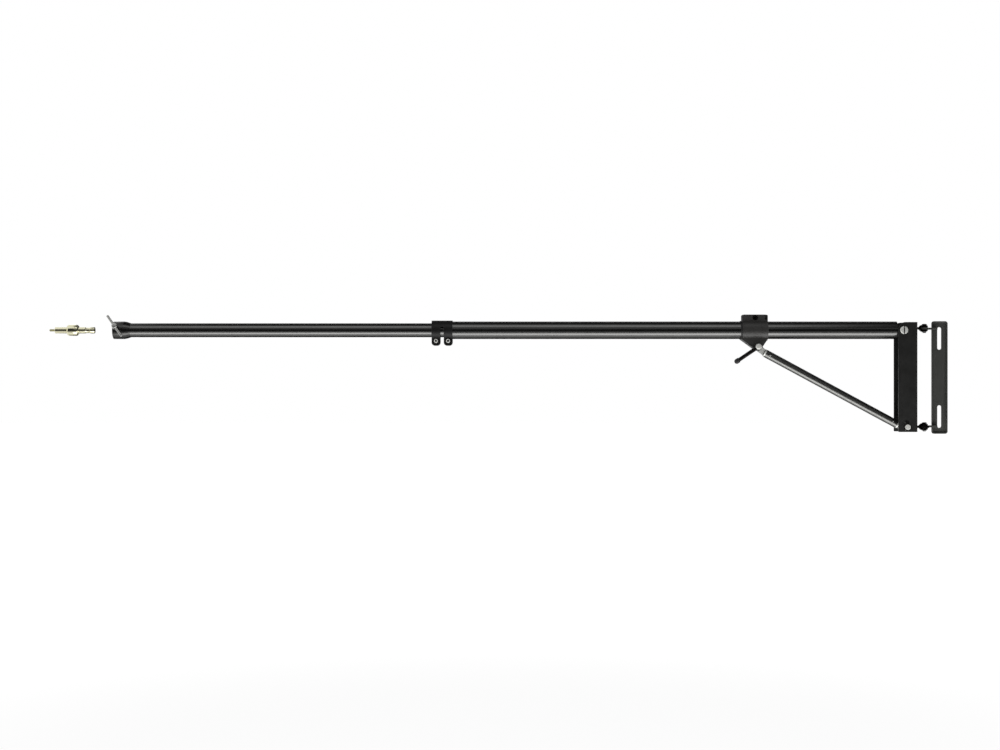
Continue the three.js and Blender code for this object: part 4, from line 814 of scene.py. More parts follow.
def finish_named(name):
    """A finish, made the first time that it is asked for."""
    finish = bpy.context.scene.arm_finish
    die = 1 / finish.die_line_spacing
    level, strut_axis = (0.0, 0.0, 0.0), (0.0, -STRUT_ANGLE, 0.0)
    makers = {
        "tube": ("black_anodised_drawn_aluminium", anodised_aluminium, finish.anodised,
                 (1.6, die, die), 0.19, 0.27),
        "socket": ("black_anodised_turned_aluminium", anodised_aluminium, finish.socket,
                   (die, 4.0, 4.0), 0.2, 0.3),
        "casting": ("powder_coated_cast_aluminium", powder_coat, finish.casting, 0.46, True,
                    linear("#6f6d69"), 0.25),
        # Partly a painted highlight: a lighter copy of the castings' coat, for the light that falls on the
        # collar's top
        "collar": ("powder_coated_collar_castings", powder_coat, finish.collar, 0.42, True,
                   linear("#7b7975")),
        "sheet": ("powder_coated_folded_steel", powder_coat, finish.sheet, 0.42, False, linear("#6a6a67")),
        "plate": ("powder_coated_pressed_steel", powder_coat, finish.plate, 0.5, False, linear("#85857f")),
        "blackened": ("oiled_black_oxide_steel", blackened_steel),
        "strut": ("chrome_plated_strut_tube", ground_chrome, finish.strut, 0.35, strut_axis),
        "chrome": ("chrome_plated_ground_steel", ground_chrome, finish.chrome, 0.35, level),
        "zinc": ("clear_zinc_plated_steel", clear_zinc),
        "brass": ("nickel_washed_turned_brass", washed_brass),
        "nylon": ("moulded_black_nylon", moulded_nylon),
    }
    material_name, make, *values = makers[name]
    return bpy.data.materials.get(material_name) or make(material_name, finish, *values)


# Operators, one for each group of pieces

class ARM_OT_wall_plate(bpy.types.Operator):
    """Make the wall plate with the hinges' lugs, pins and clips"""
    bl_idname = "boom_arm.wall_plate"
    bl_label = "Wall plate"

    def execute(self, context):
        self.make_tray(context.scene.arm_plate)
        for side, centre in HINGE_AXES.items():
            self.make_lug(context.scene.arm_hinge, side, centre)
            self.make_pin(context.scene.arm_hinge, side, centre)
        return {"FINISHED"}

    def make_tray(self, sizes):
        low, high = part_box("wall_plate")
        wall = sizes.thickness
        outline = rectangle(low.x, high.x, low.z, high.z, sizes.corner)
        tray = slab("pressed_wall_plate", "y", outline, low.y, 0)
        round_edges(tray, sizes.bend, lambda at, edge: at.y > -TOUCH, 4)
        floor = rectangle(low.x + wall, high.x - wall, low.z + wall, high.z - wall, sizes.corner - wall)
        hollow = slab("hollow", "y", floor, low.y - OVERRUN, -wall)
        round_edges(hollow, 1.4 * MM, lambda at, edge: at.y > -wall - TOUCH, 3)
        half = sizes.slot_width / 2
        ends = (high.z - sizes.slot_margin, low.z + sizes.slot_margin + sizes.slot_length)
        slots = [slab("slot", "y", rectangle(-half, half, end - sizes.slot_length, end, half),
                      low.y - OVERRUN, OVERRUN) for end in ends]
        cut(tray, hollow, *slots)
        hand_over(tray, "wall_plate", "wall_plate", "plate", 0.5 * MM, 3)

    def make_lug(self, sizes, side, centre):
        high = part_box(f"{side}_hinge_lug")[1]
        half, neck = sizes.lug_thickness / 2, sizes.lug_width / 2
        right, back = high.x - centre.x, high.y - centre.y
        foot = right - 9.7 * MM
        lip = back - 5.3 * MM
        front = lip - sizes.lug_bar
        arm = slab("hinge_lug", "z", [
            (-neck, 0), (neck, 0), (neck, front, 3 * MM), (right, front, 3 * MM), (right, back, MM),
            (foot, back, MM), (foot, lip), (0, lip, 3 * MM), (-neck, lip - neck, 3 * MM)], -half, half)
        join(arm, bar("eye", "z", sizes.eye, -half, half, steps="medium"))
        cut(arm, bar("hole", "z", sizes.pin + FIT, -half - OVERRUN, half + OVERRUN))
        moved(arm, Matrix.Translation(centre)).name = f"{side}_plate_lug"
        hand_over(arm, "wall_plate", f"{side}_hinge_lug", "plate", 0.6 * MM)

    def make_pin(self, sizes, side, centre):
        low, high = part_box(f"{side}_hinge_pin")
        radius, head = sizes.pin / 2, sizes.pin_head / 2
        top, bottom = high.z - centre.z, low.z - centre.z
        stack = sizes.lug_thickness / 2 + GAP + sizes.prong
        groove = stack + 1.8 * MM
        pin = turned(f"{side}_domed_pin", "z", [
            (bottom, 0), (bottom, radius, 0.9 * MM), (-groove, radius), (-groove, radius - 0.8 * MM),
            (-stack, radius - 0.8 * MM), (-stack, radius), (top - 2.5 * MM, radius),
            (top - 2.5 * MM, head, 0.3 * MM), (top - 1.3 * MM, head, 0.4 * MM),
            (top, head - 3.2 * MM, 3 * MM), (top, 0)], centre)
        hand_over(pin, "wall_plate", f"{side}_hinge_pin", "blackened", 0.2 * MM)
        low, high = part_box(f"{side}_hinge_clip")
        bottom, top = low.z - centre.z, high.z - centre.z
        clip = ring(f"{side}_spring_clip", "z", sizes.pin_head, 7 * MM, bottom, top)
        mouth = slab("mouth", "z", [
            (0, -3.1 * MM), (sizes.pin_head, -5.2 * MM), (sizes.pin_head, 5.2 * MM), (0, 3.1 * MM)],
            bottom - OVERRUN, top + OVERRUN)
        holes = [bar("eye", "z", 1.4 * MM, bottom - OVERRUN, top + OVERRUN, (2.7 * MM, y, 0), "tiny")
                 for y in (-4.6 * MM, 4.6 * MM)]
        moved(cut(clip, mouth, *holes), Matrix.Translation(centre))
        hand_over(clip, "wall_plate", f"{side}_hinge_clip", "zinc", 0.15 * MM)


class ARM_OT_upright(bpy.types.Operator):
    """Make the upright channel, its hinge forks and the boom pivot"""
    bl_idname = "boom_arm.upright"
    bl_label = "Upright"

    def execute(self, context):
        scene = context.scene
        self.make_channel(scene.arm_channel, scene.arm_hinge.shank + FIT, scene.arm_pivot.bolt + FIT)
        for side, centre in HINGE_AXES.items():
            self.make_fork(context.scene.arm_hinge, side, centre)
        self.make_pivot(context.scene.arm_pivot)
        return {"FINISHED"}

    def make_channel(self, sizes, rivet_hole, bolt_hole):
        low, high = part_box("upright_channel")
        sheet, bend = sizes.sheet, sizes.bend
        channel = slab("folded_upright_channel", "z", [
            (low.x, low.y), (high.x, low.y, bend), (high.x, high.y, bend), (low.x, high.y),
            (low.x, high.y - sheet), (high.x - sheet, high.y - sheet, bend - sheet),
            (high.x - sheet, low.y + sheet, bend - sheet), (low.x, low.y + sheet)], low.z, high.z)

        for end, radius in ((high.z, sizes.top_corner), (low.z, sizes.foot_corner)):
            def is_front_corner(at, edge):
                across = abs(edge.verts[0].co.y - edge.verts[1].co.y)
                return at.x < low.x + TOUCH and abs(at.z - end) < TOUCH and across > sheet * 0.9

            round_edges(channel, radius, is_front_corner, 12)
        half = sizes.foot_slot_width / 2
        floor, top = FOOT_AXIS.z - sizes.foot_slot_below, FOOT_AXIS.z + sizes.foot_slot_above
        x = FOOT_AXIS.x
        start, end = low.y - OVERRUN, high.y + OVERRUN
        slot = slab("slot", "y", rectangle(x - half, x + half, floor, top, half), start, end)
        pivot = bar("hole", "y", bolt_hole, start, end, (BOOM_AXIS.x, 0, BOOM_AXIS.z))
        web = (high.x - sheet - OVERRUN, high.x + OVERRUN)
        rivets = [bar("hole", "x", rivet_hole, *web, (0, centre.y, centre.z))
                  for centre in HINGE_AXES.values()]
        cut(channel, slot, pivot, *rivets)
        hand_over(channel, "upright", "upright_channel", "sheet", 1.2 * MM, 3)

    def make_fork(self, sizes, side, centre):
        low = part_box(f"{side}_hinge_fork")[0]
        stack = sizes.lug_thickness / 2 + GAP + sizes.prong
        neck, eye = sizes.lug_width / 2, sizes.eye / 2
        throat = -eye - 0.8 * MM
        bridge = throat - 2.7 * MM
        rivet = low.x - centre.x
        fork = bar(f"{side}_riveted_fork", "z", sizes.eye, -stack, stack, steps="medium")
        join(fork, block("bridge", (bridge, 0), (-neck, neck), (-stack, stack)))
        side_view = rectangle(bridge, eye, -stack, stack, sizes.eye_round)
        keep_inside(fork, slab("side", "y", side_view, -eye - OVERRUN, eye + OVERRUN))
        join(fork, turned("shank", "x", [
            (rivet, 0), (rivet, sizes.rivet / 2 - 1.5 * MM, 1.2 * MM),
            (rivet + 1.2 * MM, sizes.rivet / 2, 0.5 * MM), (rivet + 2 * MM, sizes.rivet / 2),
            (rivet + 2 * MM, sizes.shank / 2), (bridge - 2.5 * MM, sizes.shank / 2, 2 * MM), (bridge, neck),
            (bridge + MM, neck), (bridge + MM, 0)]))
        gap = sizes.lug_thickness / 2 + GAP
        cut(fork, block("throat", (throat, eye + OVERRUN), (-eye - OVERRUN, eye + OVERRUN), (-gap, gap)),
            bar("hole", "z", sizes.pin + FIT, -stack - OVERRUN, stack + OVERRUN))
        moved(fork, Matrix.Translation(centre))
        hand_over(fork, "upright", f"{side}_hinge_fork", "blackened", 0.6 * MM)

    def make_pivot(self, sizes):
        low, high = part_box("boom_pivot_bolt")
        y = BOOM_AXIS.y
        face, end = low.y - y, high.y - y
        cheek = face + sizes.head_height
        radius = sizes.bolt / 2
        bolt = threaded("slotted_pivot_bolt", "y", [
            (face, 0), (face, sizes.head / 2, 2.4 * MM), (cheek, sizes.head / 2, 0.4 * MM), (cheek, radius),
            (-cheek, radius), (-cheek + MM, radius - 0.9 * MM), (end, radius - 0.9 * MM, 0.6 * MM), (end, 0)],
            sizes.bolt, sizes.pitch, -cheek + 0.5 * MM, end - 0.4 * MM)
        half = sizes.driver_slot / 2
        cut(bolt, slab("driver_slot", "y", rectangle(-half, half, -sizes.head, sizes.head),
                       face - OVERRUN, face + sizes.driver_slot))
        moved(bolt, Matrix.Translation(BOOM_AXIS))
        hand_over(bolt, "upright", "boom_pivot_bolt", "zinc", 0.25 * MM)
        bore = sizes.bolt + FIT
        seated_nut("pivot_nut", "boom_pivot_nut", "upright", sizes.nut, bore, BOOM_AXIS, 0.3 * MM)
        seated_ring("ground_pivot_sleeve", "boom_pivot_sleeve", "upright", "chrome", bore, BOOM_AXIS)


class ARM_OT_outer_tube(bpy.types.Operator):
    """Make the outer boom tube and the fitting in its root"""
    bl_idname = "boom_arm.outer_tube"
    bl_label = "Outer tube"

    def execute(self, context):
        sizes = context.scene.arm_tube
        low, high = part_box("outer_tube")
        outer = high.z - low.z
        centre = Vector((0, BOOM_AXIS.y, BOOM_AXIS.z))
        places = [middle(f"root_fitting_screw_{i}").x for i in (1, 2)]
        seat = -outer / 2 + sizes.wall

        def screw_holes(diameter, depth):
            return [bar("hole", "z", diameter + FIT, -outer, seat + depth, (x, BOOM_AXIS.y, BOOM_AXIS.z))
                    for x in places]

        tube = ring("outer_boom_tube", "x", outer, outer - 2 * sizes.wall, low.x, high.x, centre, "large")
        cut(tube, *screw_holes(sizes.screw_head, 0.15 * MM))
        hand_over(tube, "boom", "outer_tube", "tube", 0.5 * MM, 3)

        root_low, root_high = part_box("boom_root_fitting")
        plug = outer / 2 - sizes.wall - GAP
        shoulder = high.x + GAP
        half, height = sizes.tongue_width / 2, sizes.tongue_height / 2
        fitting = turned("cast_root_fitting", "x", [
            (root_low.x, 0), (root_low.x, plug, MM), (shoulder + MM, plug), (shoulder + MM, 0)],
            centre, "large")
        tongue = slab("tongue", "y", [
            (shoulder, -height), (root_high.x, -height, height), (root_high.x, height, height),
            (shoulder, height)], -half, half)
        join(fitting, moved(tongue, Matrix.Translation(centre)))
        bore = extent("boom_pivot_sleeve").x + FIT
        hollow = turned("hollow", "x", [
            (root_low.x - OVERRUN, 0), (root_low.x - OVERRUN, plug - 5 * MM),
            (root_low.x + 40 * MM, plug - 5 * MM, 3 * MM), (root_low.x + 40 * MM, 0)], centre)
        pivot = bar("hole", "y", bore, -half - OVERRUN, half + OVERRUN, BOOM_AXIS)
        heads, threads = screw_holes(sizes.screw_head, 0.15 * MM), screw_holes(sizes.screw, 8.5 * MM)
        cut(fitting, hollow, pivot, *heads, *threads)
        hand_over(fitting, "boom", "boom_root_fitting", "casting", 0.6 * MM)

        for index, x in enumerate(places, 1):
            node = f"root_fitting_screw_{index}"
            low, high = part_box(node)
            screw = flush_screw(
                f"root_screw_{index}", sizes, low.z, seat + BOOM_AXIS.z, high.z, (x, BOOM_AXIS.y, 0))
            hand_over(screw, "boom", node, "blackened", 0.15 * MM)
        for side in ("near", "far"):
            seated_ring(f"{side}_nylon_washer", f"{side}_friction_washer", "boom", "nylon", bore, BOOM_AXIS)
        return {"FINISHED"}


def flush_screw(name, sizes, face, seat, end, centre):
    """A flush screw under a tube, its key towards the floor."""
    screw = turned(name, "z", [
        (face, 0), (face, sizes.screw_head / 2, 0.4 * MM), (seat, sizes.screw_head / 2),
        (seat, sizes.screw / 2), (end, sizes.screw / 2, 0.5 * MM), (end, 0)], centre)
    return cut(screw, hexagon_bar("key", "z", sizes.screw_key, face - OVERRUN, face + 1.2 * MM, centre))


class ARM_OT_telescopic_clamp(bpy.types.Operator):
    """Make the telescopic clamp, its liner, its two cap screws and their nuts"""
    bl_idname = "boom_arm.telescopic_clamp"
    bl_label = "Telescopic clamp"

    def execute(self, context):
        sizes = context.scene.arm_clamp
        casting_round = context.scene.arm_finish.casting_round
        bore = extent("outer_tube").z + FIT
        outer = bore / 2 + sizes.wall
        lock = -sizes.gap - sizes.ring
        ear = sizes.ear_width / 2
        at_end = Matrix.Translation((TUBE_END, BOOM_AXIS.y, BOOM_AXIS.z))
        clamp = ring("cast_telescopic_clamp", "x", 2 * outer, 20 * MM, lock, sizes.ring, steps="large")
        gap = block("gap", (-sizes.gap, 0), (-2 * outer, 2 * outer), (-2 * outer, outer * sizes.bridge))
        round_edges(
            gap, 2 * MM, lambda at, edge: at.z > outer * sizes.bridge - TOUCH and abs(at.y) < outer, 4)
        cut(clamp, gap)
        for start in (lock, 0):
            end = start + sizes.ring
            join(clamp, slab("ears", "y", [
                (start, -sizes.ear_drop, sizes.ear_round), (end, -sizes.ear_drop, sizes.ear_round),
                (end, -15 * MM), (start, -15 * MM)], -ear, ear))
        cut(clamp, bar("bore", "x", bore, lock - OVERRUN, sizes.ring + OVERRUN, steps="large"))
        split = (-sizes.split / 2, sizes.split / 2)
        along = (lock - OVERRUN, sizes.ring + OVERRUN)
        tools = [block("split", along, split, (-sizes.ear_drop - OVERRUN, 0))]
        for start in (lock, 0):
            at = (start + sizes.ring / 2, 0, -sizes.screw_drop)
            tools.append(bar("hole", "y", sizes.screw + FIT, -outer, outer, at))
            tools.append(bar("spot", "y", sizes.spot_face, -outer - OVERRUN, -ear, at))
            tools.append(bar("spot", "y", sizes.spot_face, ear, outer + OVERRUN, at))
        cut(clamp, *tools)
        moved(clamp, at_end)
        hand_over(clamp, "boom", "telescopic_clamp", "casting", casting_round, 3)

        liner = ring("clamp_split_liner", "x", bore - FIT, extent("inner_tube").z + FIT, lock, -sizes.gap,
                     steps="large")
        cut(liner, block("split", (lock - OVERRUN, 0), split, (-bore, 0)))
        moved(liner, at_end)
        hand_over(liner, "boom", "clamp_liner", "nylon", 0.3 * MM)

        for start, screw_node, nut_node, body in (
                (0, "clamp_fixing_screw", "clamp_fixing_nut", "boom"),
                (lock, "extension_lock_screw", "extension_lock_nut", "extension_lock")):
            at = Vector((start + sizes.ring / 2, 0, -sizes.screw_drop))
            low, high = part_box(screw_node)
            screw = cap_screw(screw_node + "_bright", "y", sizes.screw_head, sizes.screw_head_height,
                              sizes.key, sizes.screw, low.y - BOOM_AXIS.y, high.y - BOOM_AXIS.y, at)
            moved(screw, at_end)
            hand_over(screw, body, screw_node, "zinc", 0.2 * MM)
            seated_nut(nut_node + "_bright", nut_node, "boom", sizes.nut, sizes.screw + FIT,
                       at_end @ at, 0.25 * MM)
        return {"FINISHED"}


class ARM_OT_collar(bpy.types.Operator):
    """Make the sliding collar's halves, liner, screws, nuts and sleeve"""
    bl_idname = "boom_arm.collar"
    bl_label = "Sliding collar"

    def execute(self, context):
        sizes = context.scene.arm_collar
        centre = Vector((middle("collar_ear_screw").x, BOOM_AXIS.y, BOOM_AXIS.z))
        for side in ("near", "far"):
            self.make_half(context, sizes, side, centre)
        self.make_fasteners(sizes, centre)
        return {"FINISHED"}

    def lug_outline(self, sizes, pivot):
        """The flanks run down from the ring and touch the round lug on both sides."""
        left, right = -sizes.width / 2 - sizes.overhang, sizes.width / 2
        top = -sizes.shoulder
        low = pivot.z - sizes.lug_round
        radius = sizes.lug_round
        # Each flank leans so that the bottom corner, once it is rounded, is the lug's own circle
        corners = []
        for x, side in ((left, -1), (right, 1)):
            dx, dz = x - pivot.x, top - pivot.z
            lean = math.atan2(dz, dx) - side * math.acos(radius / math.hypot(dx, dz))
            touch = Vector((pivot.x + radius * math.cos(lean), pivot.z + radius * math.sin(lean)))
            slope = (touch.x - x) / (touch.y - top)
            corners.append((x + slope * (low - top), low, radius))
        return [(left, 0), (left, top), corners[0], corners[1], (right, top), (right, 0)]

    def make_half(self, context, sizes, side, centre):
        pivot = STRUT_AXIS - centre
        left, right = -sizes.width / 2 - sizes.overhang, sizes.width / 2
        bore = extent("collar_liner").z + FIT
        outer = bore / 2 + sizes.wall
        half = bar(f"collar_{side}_casting", "x", 2 * outer, -right, right, steps="large")
        ear = block("ear", (-right, right), (-sizes.ear_depth, 0), (10 * MM, sizes.ear_rise))
        round_edges(
            ear, 3.5 * MM, lambda at, edge: at.z > sizes.ear_rise - TOUCH and abs(at.x) > right - TOUCH, 4)
        lug = slab("lug", "y", self.lug_outline(sizes, pivot), -sizes.lug_half, 0)
        join(half, ear, lug)
        far = 4 * outer
        keep_inside(half, block("near_side", (-far, far), (-far, -sizes.split / 2), (-far, far)))
        tongue_top = pivot.z + context.scene.arm_strut.upper_round + 2.3 * MM
        groove_at = sizes.ear_groove_place
        tools = [
            bar("bore", "x", bore, left - OVERRUN, right + OVERRUN, steps="large"),
            block("tongue_gap", (-far, far), (-sizes.tongue_half, MM), (-far, tongue_top)),
            bar("ear_hole", "y", sizes.screw + FIT, -far, OVERRUN, (0, 0, sizes.screw_rise)),
            bar("lug_hole", "y", sizes.screw + FIT, -far, OVERRUN, pivot),
            bar("sleeve_seat", "y", sizes.sleeve + FIT, -sizes.tongue_half - 10.3 * MM, OVERRUN, pivot),
            block("ear_groove", (groove_at - sizes.ear_groove / 2, groove_at + sizes.ear_groove / 2),
                  (-far, sizes.ear_groove - sizes.ear_depth), (outer, far)),
        ]
        groove = ring("groove", "x", 2 * far, 2 * outer - 2.4 * MM, 14.2 * MM, 15.8 * MM, steps="large")
        band = block("band", (0, far), (-far, 0), (-sizes.shoulder, sizes.shoulder))
        tools.append(keep_inside(groove, band))
        if side == "near":
            tools.append(bar("head_seat", "y", sizes.screw_head + FIT, -far,
                             sizes.screw_head_height + GAP - sizes.ear_depth, (0, 0, sizes.screw_rise)))
        cut(half, *tools)
        if side == "far":
            bm = bmesh.new()
            bm.from_mesh(half.data)
            bmesh.ops.scale(bm, vec=(1, -1, 1), verts=bm.verts[:])
            bmesh.ops.recalc_face_normals(bm, faces=bm.faces[:])
            bm.to_mesh(half.data)
            bm.free()
        moved(half, Matrix.Translation(centre))
        hand_over(half, "collar", f"collar_{side}_half", "collar",
                  context.scene.arm_finish.casting_round, 3)

    def make_fasteners(self, sizes, centre):
        y = BOOM_AXIS.y
        low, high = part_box("collar_liner")
        bore = extent("outer_tube").z + FIT
        liner = ring("collar_split_liner", "x", high.z - low.z, bore, low.x, high.x,
                     (0, y, BOOM_AXIS.z), "large")
        cut(liner, block("split", (low.x - OVERRUN, high.x + OVERRUN),
                         (y - sizes.split / 2, y + sizes.split / 2), (BOOM_AXIS.z, BOOM_AXIS.z + bore)))
        hand_over(liner, "collar", "collar_liner", "nylon", 0.3 * MM)
        at = Vector((centre.x, 0, centre.z + sizes.screw_rise))
        low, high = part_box("collar_ear_screw")
        screw = cap_screw("sunk_ear_screw", "y", sizes.screw_head, sizes.screw_head_height, sizes.key,
                          sizes.screw, low.y, high.y, at)
        hand_over(screw, "collar", "collar_ear_screw", "blackened", 0.2 * MM)
        bore = sizes.screw + FIT
        for node, place in (("collar_ear_nut", at), ("collar_lever_nut", STRUT_AXIS)):
            seated_nut(node + "_bright", node, "collar", sizes.nut, bore, place, 0.25 * MM)
        seated_ring("ground_collar_sleeve", "collar_pivot_sleeve", "collar", "chrome", bore, STRUT_AXIS)


class ARM_OT_collar_lever(bpy.types.Operator):
    """Make the lever that tightens the collar"""
    bl_idname = "boom_arm.collar_lever"
    bl_label = "Collar lever"

    def execute(self, context):
        sizes = context.scene.arm_lever
        low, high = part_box("collar_lever_hub")
        y = STRUT_AXIS.y
        face, end = low.y - y, high.y - y
        floor = face + sizes.hub_height
        radius = sizes.hub / 2
        arm_y = floor - 7 * MM
        hub = turned("lever_hub_bright", "y", [
            (face, 0), (face, radius - 3 * MM), (face + 0.6 * MM, radius - 1.4 * MM, 0.5 * MM),
            (face + 2 * MM, radius, 1.2 * MM), (floor - 1.6 * MM, radius, 0.5 * MM),
            (floor - 1.6 * MM, radius - MM), (floor, radius - MM, 0.4 * MM), (floor, 4 * MM),
            (end, 4 * MM, 0.8 * MM), (end, 0)], steps="medium")
        arm_start = 5 * MM - radius
        cut(hub, bar("arm_hole", "x", sizes.arm + FIT, -2 * radius, arm_start + GAP, (0, arm_y, 0)))
        tip_start = sizes.reach - sizes.tip_length
        arm = turned("lever_arm_black", "x", [
            (-tip_start - 7 * MM, 0), (-tip_start - 7 * MM, sizes.arm / 2, 0.5 * MM),
            (arm_start, sizes.arm / 2, 0.5 * MM), (arm_start, 0)], (0, arm_y, 0))
        tip_radius = sizes.tip / 2
        tip = turned("lever_tip_moulded", "x", [
            (-sizes.reach, 0), (-sizes.reach, tip_radius, tip_radius * 0.98),
            (-tip_start - 3.5 * MM, tip_radius, 3 * MM), (-tip_start, sizes.arm / 2 + 1.1 * MM, 0.4 * MM),
            (-tip_start, 0)], (0, arm_y, 0))
        cut(tip, bar("tip_hole", "x", sizes.arm + FIT, -tip_start - 7.3 * MM, 0, (0, arm_y, 0)))
        place = Matrix.Translation(STRUT_AXIS) @ Matrix.Rotation(-sizes.drop, 4, "Y")
        for piece, node, look, edge in (
                (hub, "collar_lever_hub", "zinc", 0.25), (arm, "collar_lever_arm", "blackened", 0.0),
                (tip, "collar_lever_tip", "nylon", 0.0)):
            moved(piece, place)
            hand_over(piece, "collar_lever", node, look, edge * MM)
        return {"FINISHED"}


class ARM_OT_strut(bpy.types.Operator):
    """Make the diagonal strut with its end fittings and spring pins"""
    bl_idname = "boom_arm.strut"
    bl_label = "Strut"

    def execute(self, context):
        sizes = context.scene.arm_strut
        start, end = sizes.upper_setback, STRUT_LENGTH - sizes.foot_setback
        place = Matrix.Translation(STRUT_AXIS) @ Matrix.Rotation(STRUT_ANGLE, 4, "Y")
        pins = [start + 12 * MM, end - 12 * MM]

        def pin_hole(x):
            return bar("hole", "y", sizes.spring_pin + FIT, -sizes.tube, sizes.tube,
                       (x, 0, -sizes.drop), "cross_hole")

        tube = ring("strut_ground_tube", "x", sizes.tube, sizes.tube - 2 * sizes.wall, start, end,
                    (0, 0, -sizes.drop), "large")
        cut(tube, *[pin_hole(x) for x in pins])
        upper = self.make_end(
            sizes, "strut_upper_tongue", sizes.upper_thickness, sizes.upper_round,
            context.scene.arm_collar.sleeve + FIT, sizes.upper_setback)
        cut(upper, pin_hole(pins[0]))
        foot = self.make_end(
            sizes, "strut_foot_tongue", sizes.foot_thickness, sizes.foot_round,
            context.scene.arm_pivot.bolt + FIT, sizes.foot_setback)
        moved(foot, Matrix.Translation((STRUT_LENGTH, 0, 0)) @ Matrix.Rotation(math.pi, 4, "Z"))
        cut(foot, pin_hole(pins[1]))
        for piece, node, look, edge in (
                (tube, "strut_tube", "strut", 0.3), (upper, "strut_upper_fitting", "zinc", 0.7),
                (foot, "strut_foot_fitting", "zinc", 0.7)):
            moved(piece, place)
            hand_over(piece, "strut", node, look, edge * MM, 3)
        reach = sizes.tube / 2 - GAP
        for index, x in enumerate(pins, 1):
            pin = turned(f"strut_pin_{index}", "y", [
                (-reach, 0), (-reach, sizes.spring_pin / 2, 0.5 * MM),
                (reach, sizes.spring_pin / 2, 0.5 * MM), (reach, 0)], (x, 0, -sizes.drop))
            cut(pin, bar("hollow", "y", 1.8 * MM, -reach - OVERRUN, reach + OVERRUN,
                         (x, 0, -sizes.drop), "tiny"))
            moved(pin, place)
            hand_over(pin, "strut", f"strut_spring_pin_{index}", "zinc", 0.1 * MM)
        return {"FINISHED"}

    def make_end(self, sizes, name, thickness, radius, hole, setback):
        """A tongue round the pivot at the origin, a shoulder and a plug towards +X."""
        half, neck = thickness / 2, sizes.neck / 2
        shoulder_end = setback - GAP
        shoulder_start = shoulder_end - 4 * MM
        plug = sizes.tube / 2 - sizes.wall - GAP
        collar = sizes.tube / 2 - GAP
        fitting = turned(name, "x", [
            (shoulder_start, 0), (shoulder_start, collar, MM), (shoulder_end, collar), (shoulder_end, plug),
            (shoulder_end + 25 * MM, plug, MM), (shoulder_end + 25 * MM, 0)], (0, 0, -sizes.drop), "medium")
        neck_end = shoulder_start + 2 * MM
        join(fitting, slab("tongue", "y", [
            (-radius, -radius, radius), (MM, -radius), (neck_end, -sizes.drop - neck),
            (neck_end, neck - sizes.drop), (MM, radius), (-radius, radius, radius)], -half, half))
        return cut(fitting, bar("hole", "y", hole, -half - OVERRUN, half + OVERRUN))


class ARM_OT_foot_pivot(bpy.types.Operator):
    """Make the foot pivot's bolt, spacers, washers and nut"""
    bl_idname = "boom_arm.foot_pivot"
    bl_label = "Foot pivot"

    def execute(self, context):
        sizes = context.scene.arm_pivot
        low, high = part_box("foot_pivot_bolt")
        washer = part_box("foot_near_washer")[0].y
        radius, head = sizes.bolt / 2, sizes.foot_head / 2
        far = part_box("foot_pivot_nut")[1].y
        bolt = threaded("foot_bolt_bright", "y", [
            (low.y, 0), (low.y, head, 1.6 * MM), (washer, head, 0.3 * MM), (washer, radius),
            (far - 0.6 * MM, radius), (far, radius - 0.9 * MM), (high.y, radius - 0.9 * MM, 0.6 * MM),
            (high.y, 0)],
            sizes.bolt, sizes.pitch, far - 0.5 * MM, high.y - 0.2 * MM, (FOOT_AXIS.x, 0, FOOT_AXIS.z))
        hand_over(bolt, "strut", "foot_pivot_bolt", "zinc", 0.25 * MM)
        bore = sizes.bolt + FIT
        for side in ("near", "far"):
            for kind, look in (("spacer", "nylon"), ("washer", "blackened")):
                node = f"foot_{side}_{kind}"
                seated_ring(node + "_turned", node, "strut", look, bore, FOOT_AXIS, 0.3 * MM)
        seated_nut("foot_nut_bright", "foot_pivot_nut", "strut", sizes.nut, bore, FOOT_AXIS, 0.3 * MM)
        return {"FINISHED"}


class ARM_OT_inner_tube(bpy.types.Operator):
    """Make the inner boom tube and the bush at its inner end"""
    bl_idname = "boom_arm.inner_tube"
    bl_label = "Inner tube"

    def execute(self, context):
        sizes = context.scene.arm_tube
        centre = (0, BOOM_AXIS.y, BOOM_AXIS.z)
        low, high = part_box("inner_tube")
        outer = high.z - low.z
        bore = outer - 2 * sizes.inner_wall
        tube = ring("inner_boom_tube", "x", outer, bore, low.x, high.x, centre, "large")
        at = (middle("socket_set_screw").x, BOOM_AXIS.y, BOOM_AXIS.z)
        cut(tube, bar("hole", "z", sizes.screw_head + FIT, -outer, 0, at))
        hand_over(tube, "inner", "inner_tube", "tube", 0.4 * MM, 3)
        low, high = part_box("inner_tube_bush")
        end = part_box("inner_tube")[1].x + GAP
        plug, flange = outer / 2 - sizes.inner_wall - GAP, (high.z - low.z) / 2
        hollow = plug - sizes.inner_wall
        bush = turned("inner_tube_nylon_bush", "x", [
            (low.x, hollow), (low.x, plug, 0.6 * MM), (end, plug), (end, flange, 0.4 * MM),
            (high.x, flange, MM), (high.x, hollow)], centre, "large")
        hand_over(bush, "inner", "inner_tube_bush", "nylon", 0.0)
        return {"FINISHED"}


